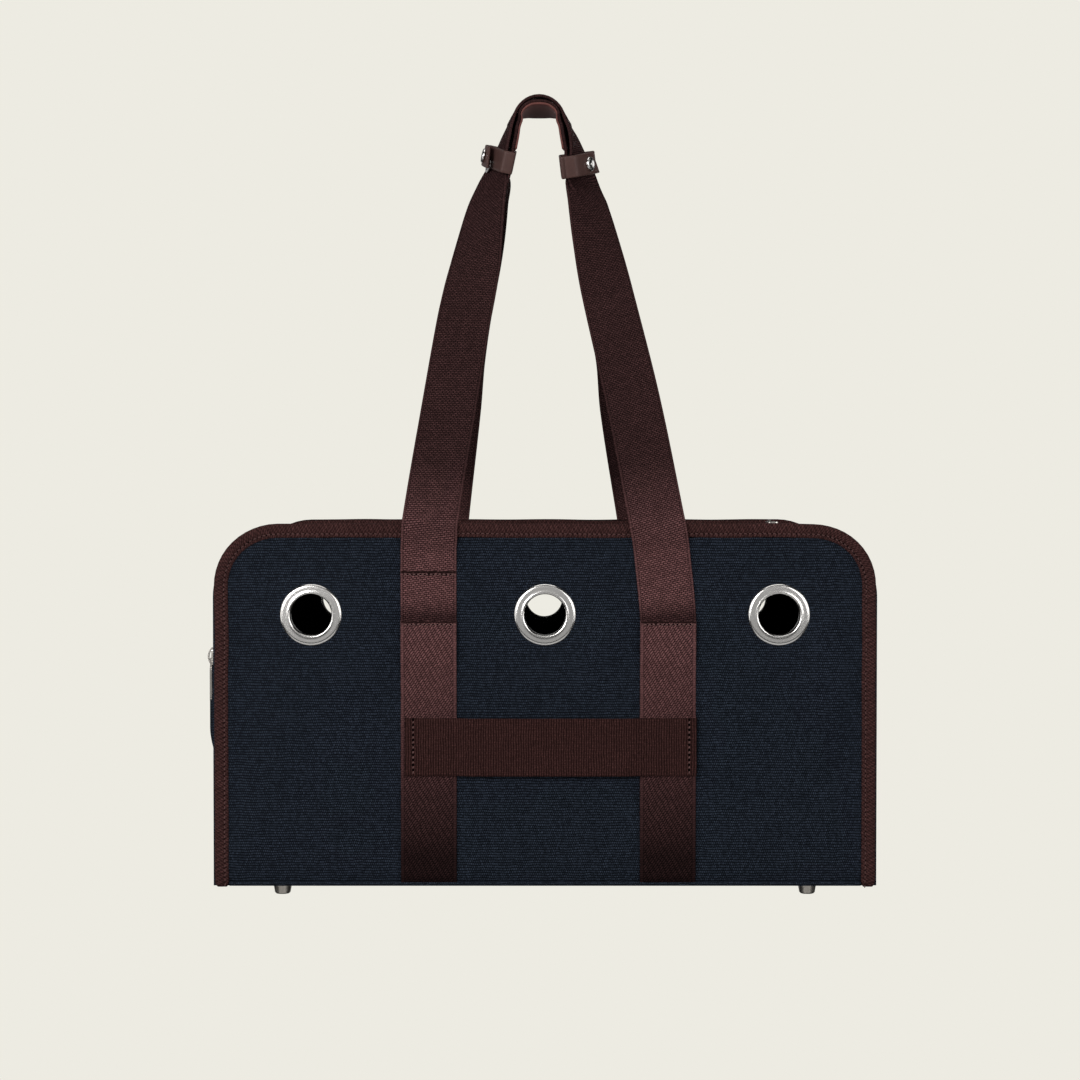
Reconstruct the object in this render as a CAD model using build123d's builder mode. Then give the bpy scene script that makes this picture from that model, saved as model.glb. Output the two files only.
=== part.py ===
from build123d import *
import os
from math import cos, radians, sin

# Soft-sided pet carrier bag in canvas and webbing, in millimetres.
# Frame: +Z up, origin on the floor under the middle of the bag, +X to the right end, -Y out of the
# front wall. The left end (-X) holds the zip door and the top holds the zip lid.

os.makedirs("parts", exist_ok=True)

# Body
body_length = 450
body_depth = 230
body_bottom = 10
body_top = 257
corner_radius = 43
wall = 3
face = body_depth / 2
inside_face = face - wall

# Edge binding
binding_width = 9.5
binding_skin = 1.2

# Ends and top, joined by one rounded corner each side
end_x = 226
roof_top = 251
gusset_radius = 44
bulge_rise = 11
bulge_taper = 58
bulge_width = 156
bulge_low = 60
bulge_high = 186

# Zip doors: the coil's centre line is a tombstone outline
door_half_width = 94
door_bottom = 21
door_top = 204
sill_drop = 4
lid_half_width = 172
lid_rear = 93
lid_front = 94
zip_corner_radius = 30
seam_reach = 5
tape_reach = 10
coil_near = 0.6
coil_far = 2.2
coil_height = 1.8
tape_thickness = 1.0

# Webbing
strap_width = 38
strap_thickness = 2
left_strap_x = -79
right_strap_x = 83.5
strap_bottom = 12.6
strap_top = 191
band_bottom = 85.5
band_height = 39.5
band_left = -95
band_right = 103
band_bow = 3.4
handle_tuck = 172

# Eyelets
eyelet_x = 159
eyelet_z = 195
eyelet_hole_radius = 14
eyelet_outer_radius = 21.2
barrel_radius = 15.2
barrel_clearance = 0.1

# Floor
foot_x = 182
foot_y = 85
mat_thickness = 13

# Keepers and snaps
keeper_height = 18.5
flap_height = 17
leather = 1.6
band_gap = 0.5
flap_offset = 3.1
strap_half = 21.2


def facing(y):
    """The plane parallel to the front wall at y, looking out of the front."""
    return Plane(origin=(0, y, 0), x_dir=(1, 0, 0), z_dir=(0, -1, 0))


def left_end(x):
    """The plane parallel to the left end at x, looking out of the end."""
    return Plane(origin=(x, 0, 0), x_dir=(0, -1, 0), z_dir=(-1, 0, 0))


def right_end(x):
    """The plane parallel to the right end at x, looking out of the end."""
    return Plane(origin=(x, 0, 0), x_dir=(0, 1, 0), z_dir=(1, 0, 0))


def roof(z):
    """The plane of the lid at height z, its Y pointing to the front of the bag."""
    return Plane(origin=(0, 0, z), x_dir=(-1, 0, 0), z_dir=(0, 0, 1))


def save(solid, name):
    solid.label = name
    export_step(solid, f"parts/{name}.step")


def tombstone(half_width, bottom, top, radius):
    """A rectangle with its two upper corners rounded."""
    with BuildSketch() as outline:
        with Locations((0, (bottom + top) / 2)):
            Rectangle(2 * half_width, top - bottom)
        fillet(outline.vertices().group_by(Axis.Y)[-1], radius)
    return outline.sketch


def wall_outline(inset, drop=0):
    """The front wall's outline, pulled in by inset, its foot lowered by drop."""
    return tombstone(body_length / 2 - inset, body_bottom - drop, body_top - inset, corner_radius - inset)


def zip_outline(half_width, bottom, top, grow, drop=0):
    """The coil's centre line, grown outwards by grow, its foot lowered by drop."""
    return tombstone(half_width + grow, bottom - drop, top + grow, zip_corner_radius + grow)


# ---------------------------------------------------------------- front and rear walls

wall_edge = wall_outline(0)
canvas_edge = wall_outline(binding_skin)
skin_cut = wall_outline(binding_skin, drop=5)
binding_inner_edge = wall_outline(binding_width, drop=5)
lining_edge = tombstone(body_length / 2 - 6, body_bottom + 6, roof_top - 6, corner_radius)

with BuildPart() as front_panel:
    with BuildSketch(facing(-inside_face)):
        add(canvas_edge)
        with Locations(*[(x, eyelet_z) for x in (-eyelet_x, 0, eyelet_x)]):
            Circle(barrel_radius + barrel_clearance, mode=Mode.SUBTRACT)
    extrude(amount=wall)
save(front_panel.part, "front_panel")

with BuildPart() as rear_panel:
    mirror(front_panel.part, about=Plane.XZ)
save(rear_panel.part, "rear_panel")

lining_thickness = 1
with BuildPart() as front_lining:
    with BuildSketch(facing(-inside_face + lining_thickness)):
        add(lining_edge)
        with Locations(*[(x, eyelet_z) for x in (-eyelet_x, 0, eyelet_x)]):
            Circle(barrel_radius + barrel_clearance, mode=Mode.SUBTRACT)
    extrude(amount=lining_thickness)
save(front_lining.part, "front_lining")

with BuildPart() as rear_lining:
    mirror(front_lining.part, about=Plane.XZ)
save(rear_lining.part, "rear_lining")

# The binding folds over the wall's edge: a strip on the face and a lip round the outside.
with BuildPart() as front_binding:
    with BuildSketch(facing(-inside_face)):
        add(wall_edge)
    extrude(amount=wall + binding_skin)
    with BuildSketch(facing(-inside_face)):
        add(binding_inner_edge)
    extrude(amount=wall + binding_skin, mode=Mode.SUBTRACT)
    with BuildSketch(facing(-inside_face)):
        add(skin_cut)
    extrude(amount=wall, mode=Mode.SUBTRACT)
save(front_binding.part, "front_binding")

with BuildPart() as rear_binding:
    mirror(front_binding.part, about=Plane.XZ)
save(rear_binding.part, "rear_binding")

# Piping along the foot of the wall: a half-round bead on the face.
piping_radius = 1.2
piping_half_length = body_length / 2 - binding_width - 0.5
with BuildPart() as front_piping:
    with BuildSketch(Plane.YZ.offset(-piping_half_length)):
        with Locations((-face, body_bottom + piping_radius)):
            Circle(piping_radius)
        with Locations((-face + piping_radius, body_bottom + piping_radius)):
            Rectangle(2 * piping_radius, 4 * piping_radius, mode=Mode.SUBTRACT)
    extrude(amount=2 * piping_half_length)
save(front_piping.part, "front_piping")

with BuildPart() as rear_piping:
    mirror(front_piping.part, about=Plane.XZ)
save(rear_piping.part, "rear_piping")

# ---------------------------------------------------------------- ends and top


def gusset_profile():
    """One end of the bag seen from the front: upright, rounded corner and the start of the top."""
    corner_x = end_x - gusset_radius
    corner_z = roof_top - gusset_radius
    with BuildSketch() as profile:
        with BuildLine():
            Line((end_x, body_bottom), (end_x, corner_z))
            CenterArc((corner_x, corner_z), gusset_radius, 0, 90)
            Line((corner_x, roof_top), (corner_x, roof_top - wall))
            CenterArc((corner_x, corner_z), gusset_radius - wall, 0, 90)
            Line((end_x - wall, corner_z), (end_x - wall, body_bottom))
            Line((end_x - wall, body_bottom), (end_x, body_bottom))
        make_face()
    return profile.sketch


def bulge_outline():
    """The soft bulge in the middle of each end."""
    with BuildSketch() as outline:
        with Locations((0, (bulge_low + bulge_high) / 2)):
            Rectangle(bulge_width, bulge_high - bulge_low)
    return outline.sketch


gusset = gusset_profile()
gusset_mirrored = mirror(gusset, about=Plane.YZ)
bulge = bulge_outline()
lid_hole = zip_outline(lid_half_width, -lid_rear, lid_front, seam_reach, drop=sill_drop)
lid_shape = zip_outline(lid_half_width, -lid_rear, lid_front, -seam_reach)
door_hole = zip_outline(door_half_width, door_bottom, door_top, seam_reach, drop=sill_drop)
door_shape = zip_outline(door_half_width, door_bottom, door_top, -seam_reach)

with BuildPart() as right_end_gusset:
    with BuildSketch(facing(inside_face)):
        add(gusset)
    extrude(amount=2 * inside_face)
    with BuildSketch(right_end(end_x)):
        add(bulge)
    extrude(amount=bulge_rise, taper=bulge_taper)
    with BuildSketch(right_end(end_x - wall)):
        add(bulge)
    extrude(amount=bulge_rise, taper=bulge_taper, mode=Mode.SUBTRACT)
save(right_end_gusset.part, "right_end_gusset")

with BuildPart() as left_end_frame:
    with BuildSketch(facing(inside_face)):
        add(gusset_mirrored)
    extrude(amount=2 * inside_face)
    with BuildSketch(left_end(-end_x + wall)):
        add(door_hole)
    extrude(amount=wall, mode=Mode.SUBTRACT)
save(left_end_frame.part, "left_end_frame")

with BuildPart() as end_door:
    with BuildSketch(left_end(-end_x + wall)):
        add(door_shape)
    extrude(amount=wall)
    with BuildSketch(left_end(-end_x)):
        add(bulge)
    extrude(amount=bulge_rise, taper=bulge_taper)
    with BuildSketch(left_end(-end_x + wall)):
        add(bulge)
    extrude(amount=bulge_rise, taper=bulge_taper, mode=Mode.SUBTRACT)
save(end_door.part, "end_door")

with BuildPart() as top_frame:
    with BuildSketch(roof(roof_top - wall)):
        Rectangle(2 * (end_x - gusset_radius), 2 * inside_face)
        add(lid_hole, mode=Mode.SUBTRACT)
    extrude(amount=wall)
save(top_frame.part, "top_frame")

with BuildPart() as top_lid:
    with BuildSketch(roof(roof_top - wall)):
        add(lid_shape)
    extrude(amount=wall)
save(top_lid.part, "top_lid")

with BuildPart() as base_panel:
    with BuildSketch(Plane.XY.offset(body_bottom)):
        Rectangle(2 * (end_x - wall), 2 * inside_face)
    extrude(amount=wall)
save(base_panel.part, "base_panel")

# ---------------------------------------------------------------- zips


def zip_strip(plane, outline, outer, inner, height):
    """A strip that follows the zip, between two distances from its centre line."""
    half_width, bottom, top = outline
    outer_edge = zip_outline(half_width, bottom, top, outer)
    inner_edge = zip_outline(half_width, bottom, top, inner, drop=1)
    with BuildPart() as strip:
        with BuildSketch(plane.offset(-height / 2)):
            add(outer_edge)
            add(inner_edge, mode=Mode.SUBTRACT)
        extrude(amount=height)
    return strip.part


end_zip_plane = left_end(-end_x - tape_thickness / 2)
lid_zip_plane = roof(roof_top + tape_thickness / 2)
door_line = (door_half_width, door_bottom, door_top)
lid_line = (lid_half_width, -lid_rear, lid_front)

for zip_name, leaf_name, plane, line in (
    ("end_zip", "door", end_zip_plane, door_line),
    ("lid_zip", "lid", lid_zip_plane, lid_line),
):
    save(zip_strip(plane, line, tape_reach, coil_far, tape_thickness), f"{zip_name}_frame_tape")
    save(zip_strip(plane, line, -coil_far, -tape_reach, tape_thickness), f"{zip_name}_{leaf_name}_tape")
    save(zip_strip(plane, line, coil_far, coil_near, coil_height), f"{zip_name}_frame_coil")
    save(zip_strip(plane, line, -coil_near, -coil_far, coil_height), f"{zip_name}_{leaf_name}_coil")

slider_length = 12
slider_width = 9
slider_corner = 2
plate_low = 1.2
plate_high = 2.7
coil_clearance = 0.3
inner_plate_thickness = 1
inner_plate_reach = 4.7
bridge_half_length = 6.5
bridge_hole_half_length = 5
bridge_hole_top = 4.7
bridge_top = 5.6
bridge_width = 2.4
rung_height = 3.6
rung_along = 1.5
rung_radius = 0.5
arm_inner = 1.7
arm_outer = 2.7
puller_start = 5.4
puller_length = 23
puller_width = 8
puller_thickness = 1.4
puller_slot_length = 8
puller_slot_width = 3.6


def slider_body(plane):
    """Zip slider: local X points to the leaf it rides on, local Y to where the puller lies."""
    lengthwise = Plane(origin=plane.origin, x_dir=plane.y_dir, z_dir=plane.x_dir)
    post_low = -coil_height / 2 - coil_clearance
    with BuildPart() as slider:
        with BuildSketch(plane.offset(plate_low)):
            RectangleRounded(slider_width, slider_length, slider_corner)
        extrude(amount=plate_high - plate_low)
        with BuildSketch(plane.offset(post_low)):
            Rectangle(2 * (coil_near - coil_clearance), slider_length / 3)
        extrude(amount=plate_low - post_low)
        with BuildSketch(plane.offset(post_low - inner_plate_thickness)):
            with Locations(((inner_plate_reach - coil_near + coil_clearance) / 2, 0)):
                Rectangle(inner_plate_reach + coil_near - coil_clearance, slider_length - 2)
        extrude(amount=inner_plate_thickness)
        with BuildSketch(lengthwise.offset(-bridge_width / 2)):
            with BuildLine():
                Line((-bridge_half_length, plate_high), (bridge_half_length, plate_high))
                ThreePointArc(
                    (bridge_half_length, plate_high), (0, bridge_top), (-bridge_half_length, plate_high)
                )
            make_face()
            with BuildLine():
                Line((-bridge_hole_half_length, plate_high), (bridge_hole_half_length, plate_high))
                ThreePointArc(
                    (bridge_hole_half_length, plate_high),
                    (0, bridge_hole_top),
                    (-bridge_hole_half_length, plate_high),
                )
            make_face(mode=Mode.SUBTRACT)
        extrude(amount=bridge_width)
    return slider.part


def puller_body(plane):
    """Puller: a rung through the slider's bridge, two arms and a slotted plate."""
    rung_plane = Plane(origin=plane.origin, x_dir=plane.y_dir, z_dir=plane.x_dir)
    plate_centre = puller_start + puller_length / 2
    with BuildPart() as puller:
        with BuildSketch(rung_plane.offset(-arm_outer)):
            Circle(rung_radius)
        extrude(amount=2 * arm_outer)
        with BuildSketch(plane.offset(-rung_radius)):
            for side in (-1, 1):
                with Locations((side * (arm_inner + arm_outer) / 2, puller_start / 2)):
                    Rectangle(arm_outer - arm_inner, puller_start + 1)
        extrude(amount=2 * rung_radius)
        with BuildSketch(plane.offset(-puller_thickness / 2)):
            with Locations((0, plate_centre)):
                RectangleRounded(puller_width, puller_length, slider_corner)
            with Locations((0, plate_centre + puller_length / 2 - puller_slot_length)):
                Rectangle(puller_slot_width, puller_slot_length, mode=Mode.SUBTRACT)
        extrude(amount=puller_thickness)
    return puller.part


end_slider_z = 165
lid_slider_y = 78
puller_turn = radians(6)
end_slider_plane = Plane(
    origin=(-end_x - tape_thickness / 2, -door_half_width, end_slider_z),
    x_dir=(0, 1, 0),
    z_dir=(-1, 0, 0),
)
lid_slider_plane = Plane(
    origin=(lid_half_width, lid_slider_y, roof_top + tape_thickness / 2),
    x_dir=(-1, 0, 0),
    z_dir=(0, 0, 1),
)


def rung_of(plane):
    """The plane at the middle of the puller's rung."""
    middle = plane.from_local_coords((0, rung_along, rung_height))
    return Plane(origin=middle, x_dir=plane.x_dir, z_dir=plane.z_dir)


# The end puller hangs turned a little towards the front.
end_puller_plane = Plane(
    origin=rung_of(end_slider_plane).origin,
    x_dir=(-sin(puller_turn), cos(puller_turn), 0),
    z_dir=(-cos(puller_turn), -sin(puller_turn), 0),
)
save(slider_body(end_slider_plane), "end_zip_slider")
save(puller_body(end_puller_plane), "end_zip_puller")
save(slider_body(lid_slider_plane), "lid_zip_slider")
save(puller_body(rung_of(lid_slider_plane)), "lid_zip_puller")

# ---------------------------------------------------------------- webbing on the walls

# Each lower strap runs up the wall and steps out over the tucked end of the handle.
step = strap_thickness + 0.2
handle_end_gap = 1
step_start = handle_tuck - handle_end_gap - 4
strap_profile = [
    (-face, strap_bottom),
    (-face - strap_thickness, strap_bottom),
    (-face - strap_thickness, step_start),
    (-face - strap_thickness - step, step_start + 4),
    (-face - strap_thickness - step, strap_top),
    (-face - step, strap_top),
    (-face - step, handle_tuck - handle_end_gap),
    (-face, handle_tuck - handle_end_gap),
]
for side, x in (("left", left_strap_x), ("right", right_strap_x)):
    with BuildPart() as front_strap:
        with BuildSketch(Plane.YZ.offset(x - strap_width / 2)):
            with BuildLine():
                Polyline(*strap_profile, close=True)
            make_face()
        extrude(amount=strap_width)
    save(front_strap.part, f"front_{side}_strap")
    with BuildPart() as rear_strap:
        mirror(front_strap.part, about=Plane.XZ)
    save(rear_strap.part, f"rear_{side}_strap")

# The cross band lies over both straps and bows out a little between them.
band_back = face + strap_thickness + 0.2
bow_start = 7
band_route = [
    (band_left, -band_back),
    (left_strap_x + strap_width / 2, -band_back),
    (left_strap_x + strap_width / 2 + bow_start, -band_back - band_bow),
    (right_strap_x - strap_width / 2 - bow_start, -band_back - band_bow),
    (right_strap_x - strap_width / 2, -band_back),
    (band_right, -band_back),
]
band_outer_route = [(x, y - strap_thickness) for x, y in reversed(band_route)]
with BuildPart() as cross_band:
    with BuildSketch(Plane.XY.offset(band_bottom)):
        with BuildLine():
            Polyline(*band_route, *band_outer_route, close=True)
        make_face()
    extrude(amount=band_height)
save(cross_band.part, "cross_band")

# ---------------------------------------------------------------- handles

# Stations along a handle: x, y, z of its middle and the turn of its width about the vertical.
# Both ends lie flat on the wall; the legs lean in, twist edge-on and meet in an arch.
flat_y = -face - 0.1 - strap_thickness / 2
rim_y = -face - 3.1
top_x = -4
front_left_leg = [
    (-79, flat_y, 172, 0),
    (-79, flat_y, 240, 0),
    (-78.5, rim_y, 246.5, 0),
    (-78, rim_y, 258, 0),
    (-65.8, -78.8, 342, 0),
    (-52.6, -41, 422, -10),
    (-46, -24.5, 458, -38),
    (-41.6, -10.5, 487, -54),
    (-36.8, 0, 504, -70.5),
    (-34.4, 0, 515, -71),
    (-32.4, 0, 526, -72),
    (-27.7, 0, 540, -82),
]
front_right_leg = [
    (83.5, flat_y, 172, -180),
    (83.5, flat_y, 194, -180),
    (79, flat_y, 240, -180),
    (78, rim_y, 246.5, -180),
    (76, rim_y, 258, -180),
    (61, -78.8, 342, -180),
    (43.5, -41, 422, -168),
    (35.8, -24.5, 458, -149),
    (30.7, -10.9, 487, -134),
    (28.1, 0, 504, -126),
    (26.6, 0, 515, -119),
    (24.2, 0, 526, -107),
    (18.8, 0, 540, -96),
]
arch_z = 544.5
arch_radius = 19
front_arch = [
    (top_x - arch_radius * cos(radians(a)), 0, arch_z + arch_radius * sin(radians(a)), -90)
    for a in (10, 36, 63, 90, 117, 144, 170)
]
rear_left_leg = [
    (-79, -flat_y, 172, 0),
    (-79, -flat_y, 240, 0),
    (-78.5, -rim_y, 246.5, 0),
    (-78, -rim_y, 258, 0),
    (-67.5, 78.8, 342, 0),
    (-63.5, 61, 381, 4),
    (-56, 43, 422, 15),
    (-44, 26, 458, 50),
    (-34, 10, 487, 78),
    (-27.4, 0, 504, 90),
    (-25, 0, 515, 90),
    (-22.6, 0, 526, 90),
    (-20.7, 0, 535, 90),
    (-17.8, 0, 544, 90),
]
rear_right_leg = [
    (83.5, -flat_y, 172, 180),
    (83.5, -flat_y, 194, 180),
    (79, -flat_y, 240, 180),
    (78, -rim_y, 246.5, 180),
    (76, -rim_y, 258, 180),
    (61.5, 78.8, 342, 180),
    (57.5, 61, 381, 176),
    (47.5, 43, 422, 165),
    (35.5, 26, 458, 130),
    (23.5, 10, 487, 102),
    (12.8, 0, 504, 90),
    (13.6, 0, 515, 90),
    (13.9, 0, 526, 90),
    (12.8, 0, 535, 90),
    (9.8, 0, 544, 90),
]
rear_arch = [
    (-12.6, 0, 552.6, 90),
    (-8.3, 0, 556.6, 90),
    (top_x, 0, 558.2, 90),
    (0.3, 0, 556.6, 90),
    (4.4, 0, 552.6, 90),
]


def ribbon(stations, width, thickness, shift=0):
    """A flat band through the stations, moved along its own thickness by shift."""
    points = [Vector(x, y, z) for x, y, z, turn in stations]
    with BuildPart() as band:
        for i, (x, y, z, turn) in enumerate(stations):
            along = (points[min(i + 1, len(points) - 1)] - points[max(i - 1, 0)]).normalized()
            across = Vector(cos(radians(turn)), sin(radians(turn)), 0)
            across = (across - along * across.dot(along)).normalized()
            outward = across.cross(along)
            section = Plane(origin=points[i] + outward * shift, x_dir=across, z_dir=along)
            with BuildSketch(section):
                Rectangle(width, thickness)
        loft(ruled=True)
    return band.part


front_route = front_left_leg + front_arch + front_right_leg[::-1]
rear_route = rear_left_leg + rear_arch + rear_right_leg[::-1]
save(ribbon(front_route, strap_width, strap_thickness), "front_handle")
save(ribbon(rear_route, strap_width, strap_thickness), "rear_handle")

# A leather lining under the inner arch, where the shoulder or hand bears.
lining_route = rear_left_leg[-3:] + rear_arch + rear_right_leg[:-4:-1]
lining_gap = 0.05
lining_shift = (strap_thickness + leather) / 2 + lining_gap
save(ribbon(lining_route, strap_width - 1, leather, lining_shift), "handle_lining")

# ---------------------------------------------------------------- keepers on the handles

stud_radius = 2.5
socket_bore = 3
socket_radius = 5
cap_radius = 5.2
cap_rise = 1.5
cap_taper = 30
keeper_front_outer = 5.6
flap_start = 0.8
stud_height = 0.8
socket_height = 0.8
# The left flap folds round the rear corner and points forwards, the right one the other way.
for side, sign, centre_x, lean, keeper_outer, keeper_inner, tail, snap_reach in (
    ("left", -1, -35, 12.5, 8.2, 11.2, 29, 14),
    ("right", 1, 25.4, -7, 15.8, 15, 31, 15),
):
    keeper_plane = Plane(
        origin=(centre_x, 0, 515),
        x_dir=(cos(radians(lean)), 0, -sin(radians(lean))),
        z_dir=(sin(radians(lean)), 0, cos(radians(lean))),
    )
    front_outer = Vector(-sign * keeper_front_outer, -strap_half)
    back_outer = Vector(sign * keeper_outer, strap_half)
    front_inner = Vector(-sign * keeper_inner, -strap_half)
    back_inner = Vector(-sign * keeper_inner, strap_half)
    root_corner, far_corner = (back_outer, front_outer) if side == "left" else (front_outer, back_outer)
    slope = (far_corner - root_corner).normalized()
    outward = Vector(slope.Y, -slope.X)
    with BuildSketch() as straps_outline:
        with BuildLine():
            Polyline(
                *[(corner.X, corner.Y) for corner in (front_outer, back_outer, back_inner, front_inner)],
                close=True,
            )
        make_face()
    outline = straps_outline.sketch

    def beside(along, out):
        """A point on the keeper's snap side: along the slope and out from the straps."""
        point = root_corner + slope * along + outward * out
        return (point.X, point.Y)

    root = [
        beside(-3, 1),
        beside(-0.4, 1),
        beside(-0.4, flap_offset + leather),
        beside(-2, flap_offset + leather),
    ]
    with BuildPart() as keeper_band:
        with BuildSketch(keeper_plane.offset(-keeper_height / 2)):
            add(outline)
            offset(amount=band_gap + leather)
            offset(outline, amount=band_gap, mode=Mode.SUBTRACT)
            with BuildLine():
                Polyline(*root, close=True)
            make_face()
        extrude(amount=keeper_height)
    save(keeper_band.part, f"{side}_keeper_band")

    flap_outline = [
        beside(flap_start, flap_offset),
        beside(tail, flap_offset),
        beside(tail, flap_offset + leather),
        beside(flap_start, flap_offset + leather),
    ]
    with BuildPart() as keeper_flap:
        with BuildSketch(keeper_plane.offset(-flap_height / 2)):
            with BuildLine():
                Polyline(*flap_outline, close=True)
            make_face()
        extrude(amount=flap_height)
    save(keeper_flap.part, f"{side}_keeper_flap")

    def snap_plane(out):
        """The plane of the snap's parts, square to the keeper's snap side."""
        x, y = beside(snap_reach, out)
        middle = keeper_plane.from_local_coords((x, y, 0))
        direction = keeper_plane.x_dir * outward.X + keeper_plane.y_dir * outward.Y
        return Plane(origin=middle, x_dir=keeper_plane.z_dir, z_dir=direction)

    with BuildPart() as snap_stud:
        with BuildSketch(snap_plane(band_gap + leather)):
            Circle(stud_radius)
        extrude(amount=stud_height)
    save(snap_stud.part, f"{side}_snap_stud")
    with BuildPart() as snap_socket:
        with BuildSketch(snap_plane(flap_offset - socket_height)):
            Circle(socket_radius)
            Circle(socket_bore, mode=Mode.SUBTRACT)
        extrude(amount=socket_height)
    save(snap_socket.part, f"{side}_snap_socket")
    with BuildPart() as snap_cap:
        with BuildSketch(snap_plane(flap_offset + leather)):
            Circle(cap_radius)
        extrude(amount=cap_rise, taper=cap_taper)
    save(snap_cap.part, f"{side}_snap_cap")

# ---------------------------------------------------------------- eyelets

washer_radius = 20
washer_thickness = 1
eyelet_lip = 3
barrel_end = -wall - lining_thickness - washer_thickness


def eyelet(x):
    """A rolled ring on the wall's face with a barrel through the wall."""
    section = Plane(origin=(x, -face, eyelet_z), x_dir=(1, 0, 0), z_dir=(0, 0, 1))
    with BuildPart() as ring:
        with BuildSketch(section):
            with BuildLine():
                Line((eyelet_hole_radius, -barrel_end), (eyelet_hole_radius, -1.2))
                ThreePointArc((eyelet_hole_radius, -1.2), (15.6, -2.7), (17.6, -eyelet_lip))
                ThreePointArc((17.6, -eyelet_lip), (20.2, -2.1), (eyelet_outer_radius, 0))
                Line((eyelet_outer_radius, 0), (barrel_radius, 0))
                Line((barrel_radius, 0), (barrel_radius, -barrel_end))
                Line((barrel_radius, -barrel_end), (eyelet_hole_radius, -barrel_end))
            make_face()
        revolve(axis=Axis((x, -face, eyelet_z), (0, 1, 0)))
    return ring.part


rings = [eyelet(x) for x in (-eyelet_x, 0, eyelet_x)]
with BuildPart() as front_eyelets:
    for ring in rings:
        add(ring)
save(front_eyelets.part, "front_eyelets")

with BuildPart() as rear_eyelets:
    mirror(front_eyelets.part, about=Plane.XZ)
save(rear_eyelets.part, "rear_eyelets")

with BuildPart() as front_eyelet_washers:
    with BuildSketch(facing(-face - barrel_end)):
        with Locations(*[(x, eyelet_z) for x in (-eyelet_x, 0, eyelet_x)]):
            Circle(washer_radius)
            Circle(barrel_radius + barrel_clearance, mode=Mode.SUBTRACT)
    extrude(amount=washer_thickness)
save(front_eyelet_washers.part, "front_eyelet_washers")

with BuildPart() as rear_eyelet_washers:
    mirror(front_eyelet_washers.part, about=Plane.XZ)
save(rear_eyelet_washers.part, "rear_eyelet_washers")

# ---------------------------------------------------------------- floor

foot_top_radius = 7.5
foot_toe_radius = 4.6
foot_places = [(x, y) for x in (-foot_x, foot_x) for y in (-foot_y, foot_y)]
foot_outline = [
    (0, 0),
    (foot_toe_radius, 0),
    (foot_toe_radius + 0.8, 0.8),
    (foot_top_radius - 0.7, body_bottom - 1.6),
    (foot_top_radius, body_bottom - 1.2),
    (foot_top_radius, body_bottom),
    (0, body_bottom),
]
with BuildPart() as feet:
    for x, y in foot_places:
        section = Plane(origin=(x, y, 0), x_dir=(1, 0, 0), z_dir=(0, -1, 0))
        with BuildSketch(section):
            with BuildLine():
                Polyline(*foot_outline, close=True)
            make_face()
        revolve(axis=Axis((x, y, 0), (0, 0, 1)))
save(feet.part, "feet")

rivet_radius = 6
rivet_height = 1.2
with BuildPart() as foot_rivets:
    with BuildSketch(Plane.XY.offset(body_bottom + wall)):
        with Locations(*foot_places):
            Circle(rivet_radius)
    extrude(amount=rivet_height)
save(foot_rivets.part, "foot_rivets")

board_thickness = 3
board_inset = 12
with BuildPart() as base_board:
    with BuildSketch(Plane.XY.offset(body_bottom + wall + rivet_height)):
        RectangleRounded(2 * (end_x - board_inset), 2 * (inside_face - board_inset / 2), 12)
    extrude(amount=board_thickness)
save(base_board.part, "base_board")

with BuildPart() as floor_mat:
    with BuildSketch(Plane.XY.offset(body_bottom + wall + rivet_height + board_thickness)):
        RectangleRounded(2 * (end_x - board_inset - 3), 2 * (inside_face - board_inset), 20)
    extrude(amount=mat_thickness)
    fillet(floor_mat.faces().sort_by(Axis.Z)[-1].edges(), 4)
save(floor_mat.part, "floor_mat")
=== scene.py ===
from math import cos, exp, hypot, pi, radians, sin, sqrt

import bmesh
import bpy
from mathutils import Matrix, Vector, noise


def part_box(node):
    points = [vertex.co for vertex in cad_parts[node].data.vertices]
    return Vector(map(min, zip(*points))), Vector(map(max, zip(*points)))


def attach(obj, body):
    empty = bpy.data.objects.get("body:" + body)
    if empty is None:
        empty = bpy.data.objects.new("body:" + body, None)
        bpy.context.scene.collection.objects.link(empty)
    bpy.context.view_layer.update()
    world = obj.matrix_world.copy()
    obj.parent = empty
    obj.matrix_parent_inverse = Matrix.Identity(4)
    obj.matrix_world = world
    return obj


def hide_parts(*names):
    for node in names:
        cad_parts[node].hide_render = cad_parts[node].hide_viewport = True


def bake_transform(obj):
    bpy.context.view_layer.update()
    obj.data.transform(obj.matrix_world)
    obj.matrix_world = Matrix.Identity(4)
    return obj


# Pet carrier bag: the soft goods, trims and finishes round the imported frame.
# All geometry is worked out in millimetres in the frame's own axes, and add_piece() turns it to metres.

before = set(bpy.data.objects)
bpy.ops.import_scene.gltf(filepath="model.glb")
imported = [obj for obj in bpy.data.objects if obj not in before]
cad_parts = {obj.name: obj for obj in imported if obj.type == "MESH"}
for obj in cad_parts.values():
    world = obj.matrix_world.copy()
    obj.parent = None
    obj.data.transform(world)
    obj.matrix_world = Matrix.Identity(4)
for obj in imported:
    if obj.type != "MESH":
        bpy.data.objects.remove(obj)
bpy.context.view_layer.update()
MM = 0.001


def box_mm(node):
    """Lowest and highest corner of a CAD node in millimetres."""
    low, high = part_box(node)
    return low / MM, high / MM


# ---------------------------------------------------------------- sizes read from the frame

bind_low, bind_high = box_mm("front_binding")
wall_low, wall_high = box_mm("front_panel")
roof_high = box_mm("top_frame")[1]
lid_low, lid_high = box_mm("top_lid")
door_low, door_high = box_mm("end_door")

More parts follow.
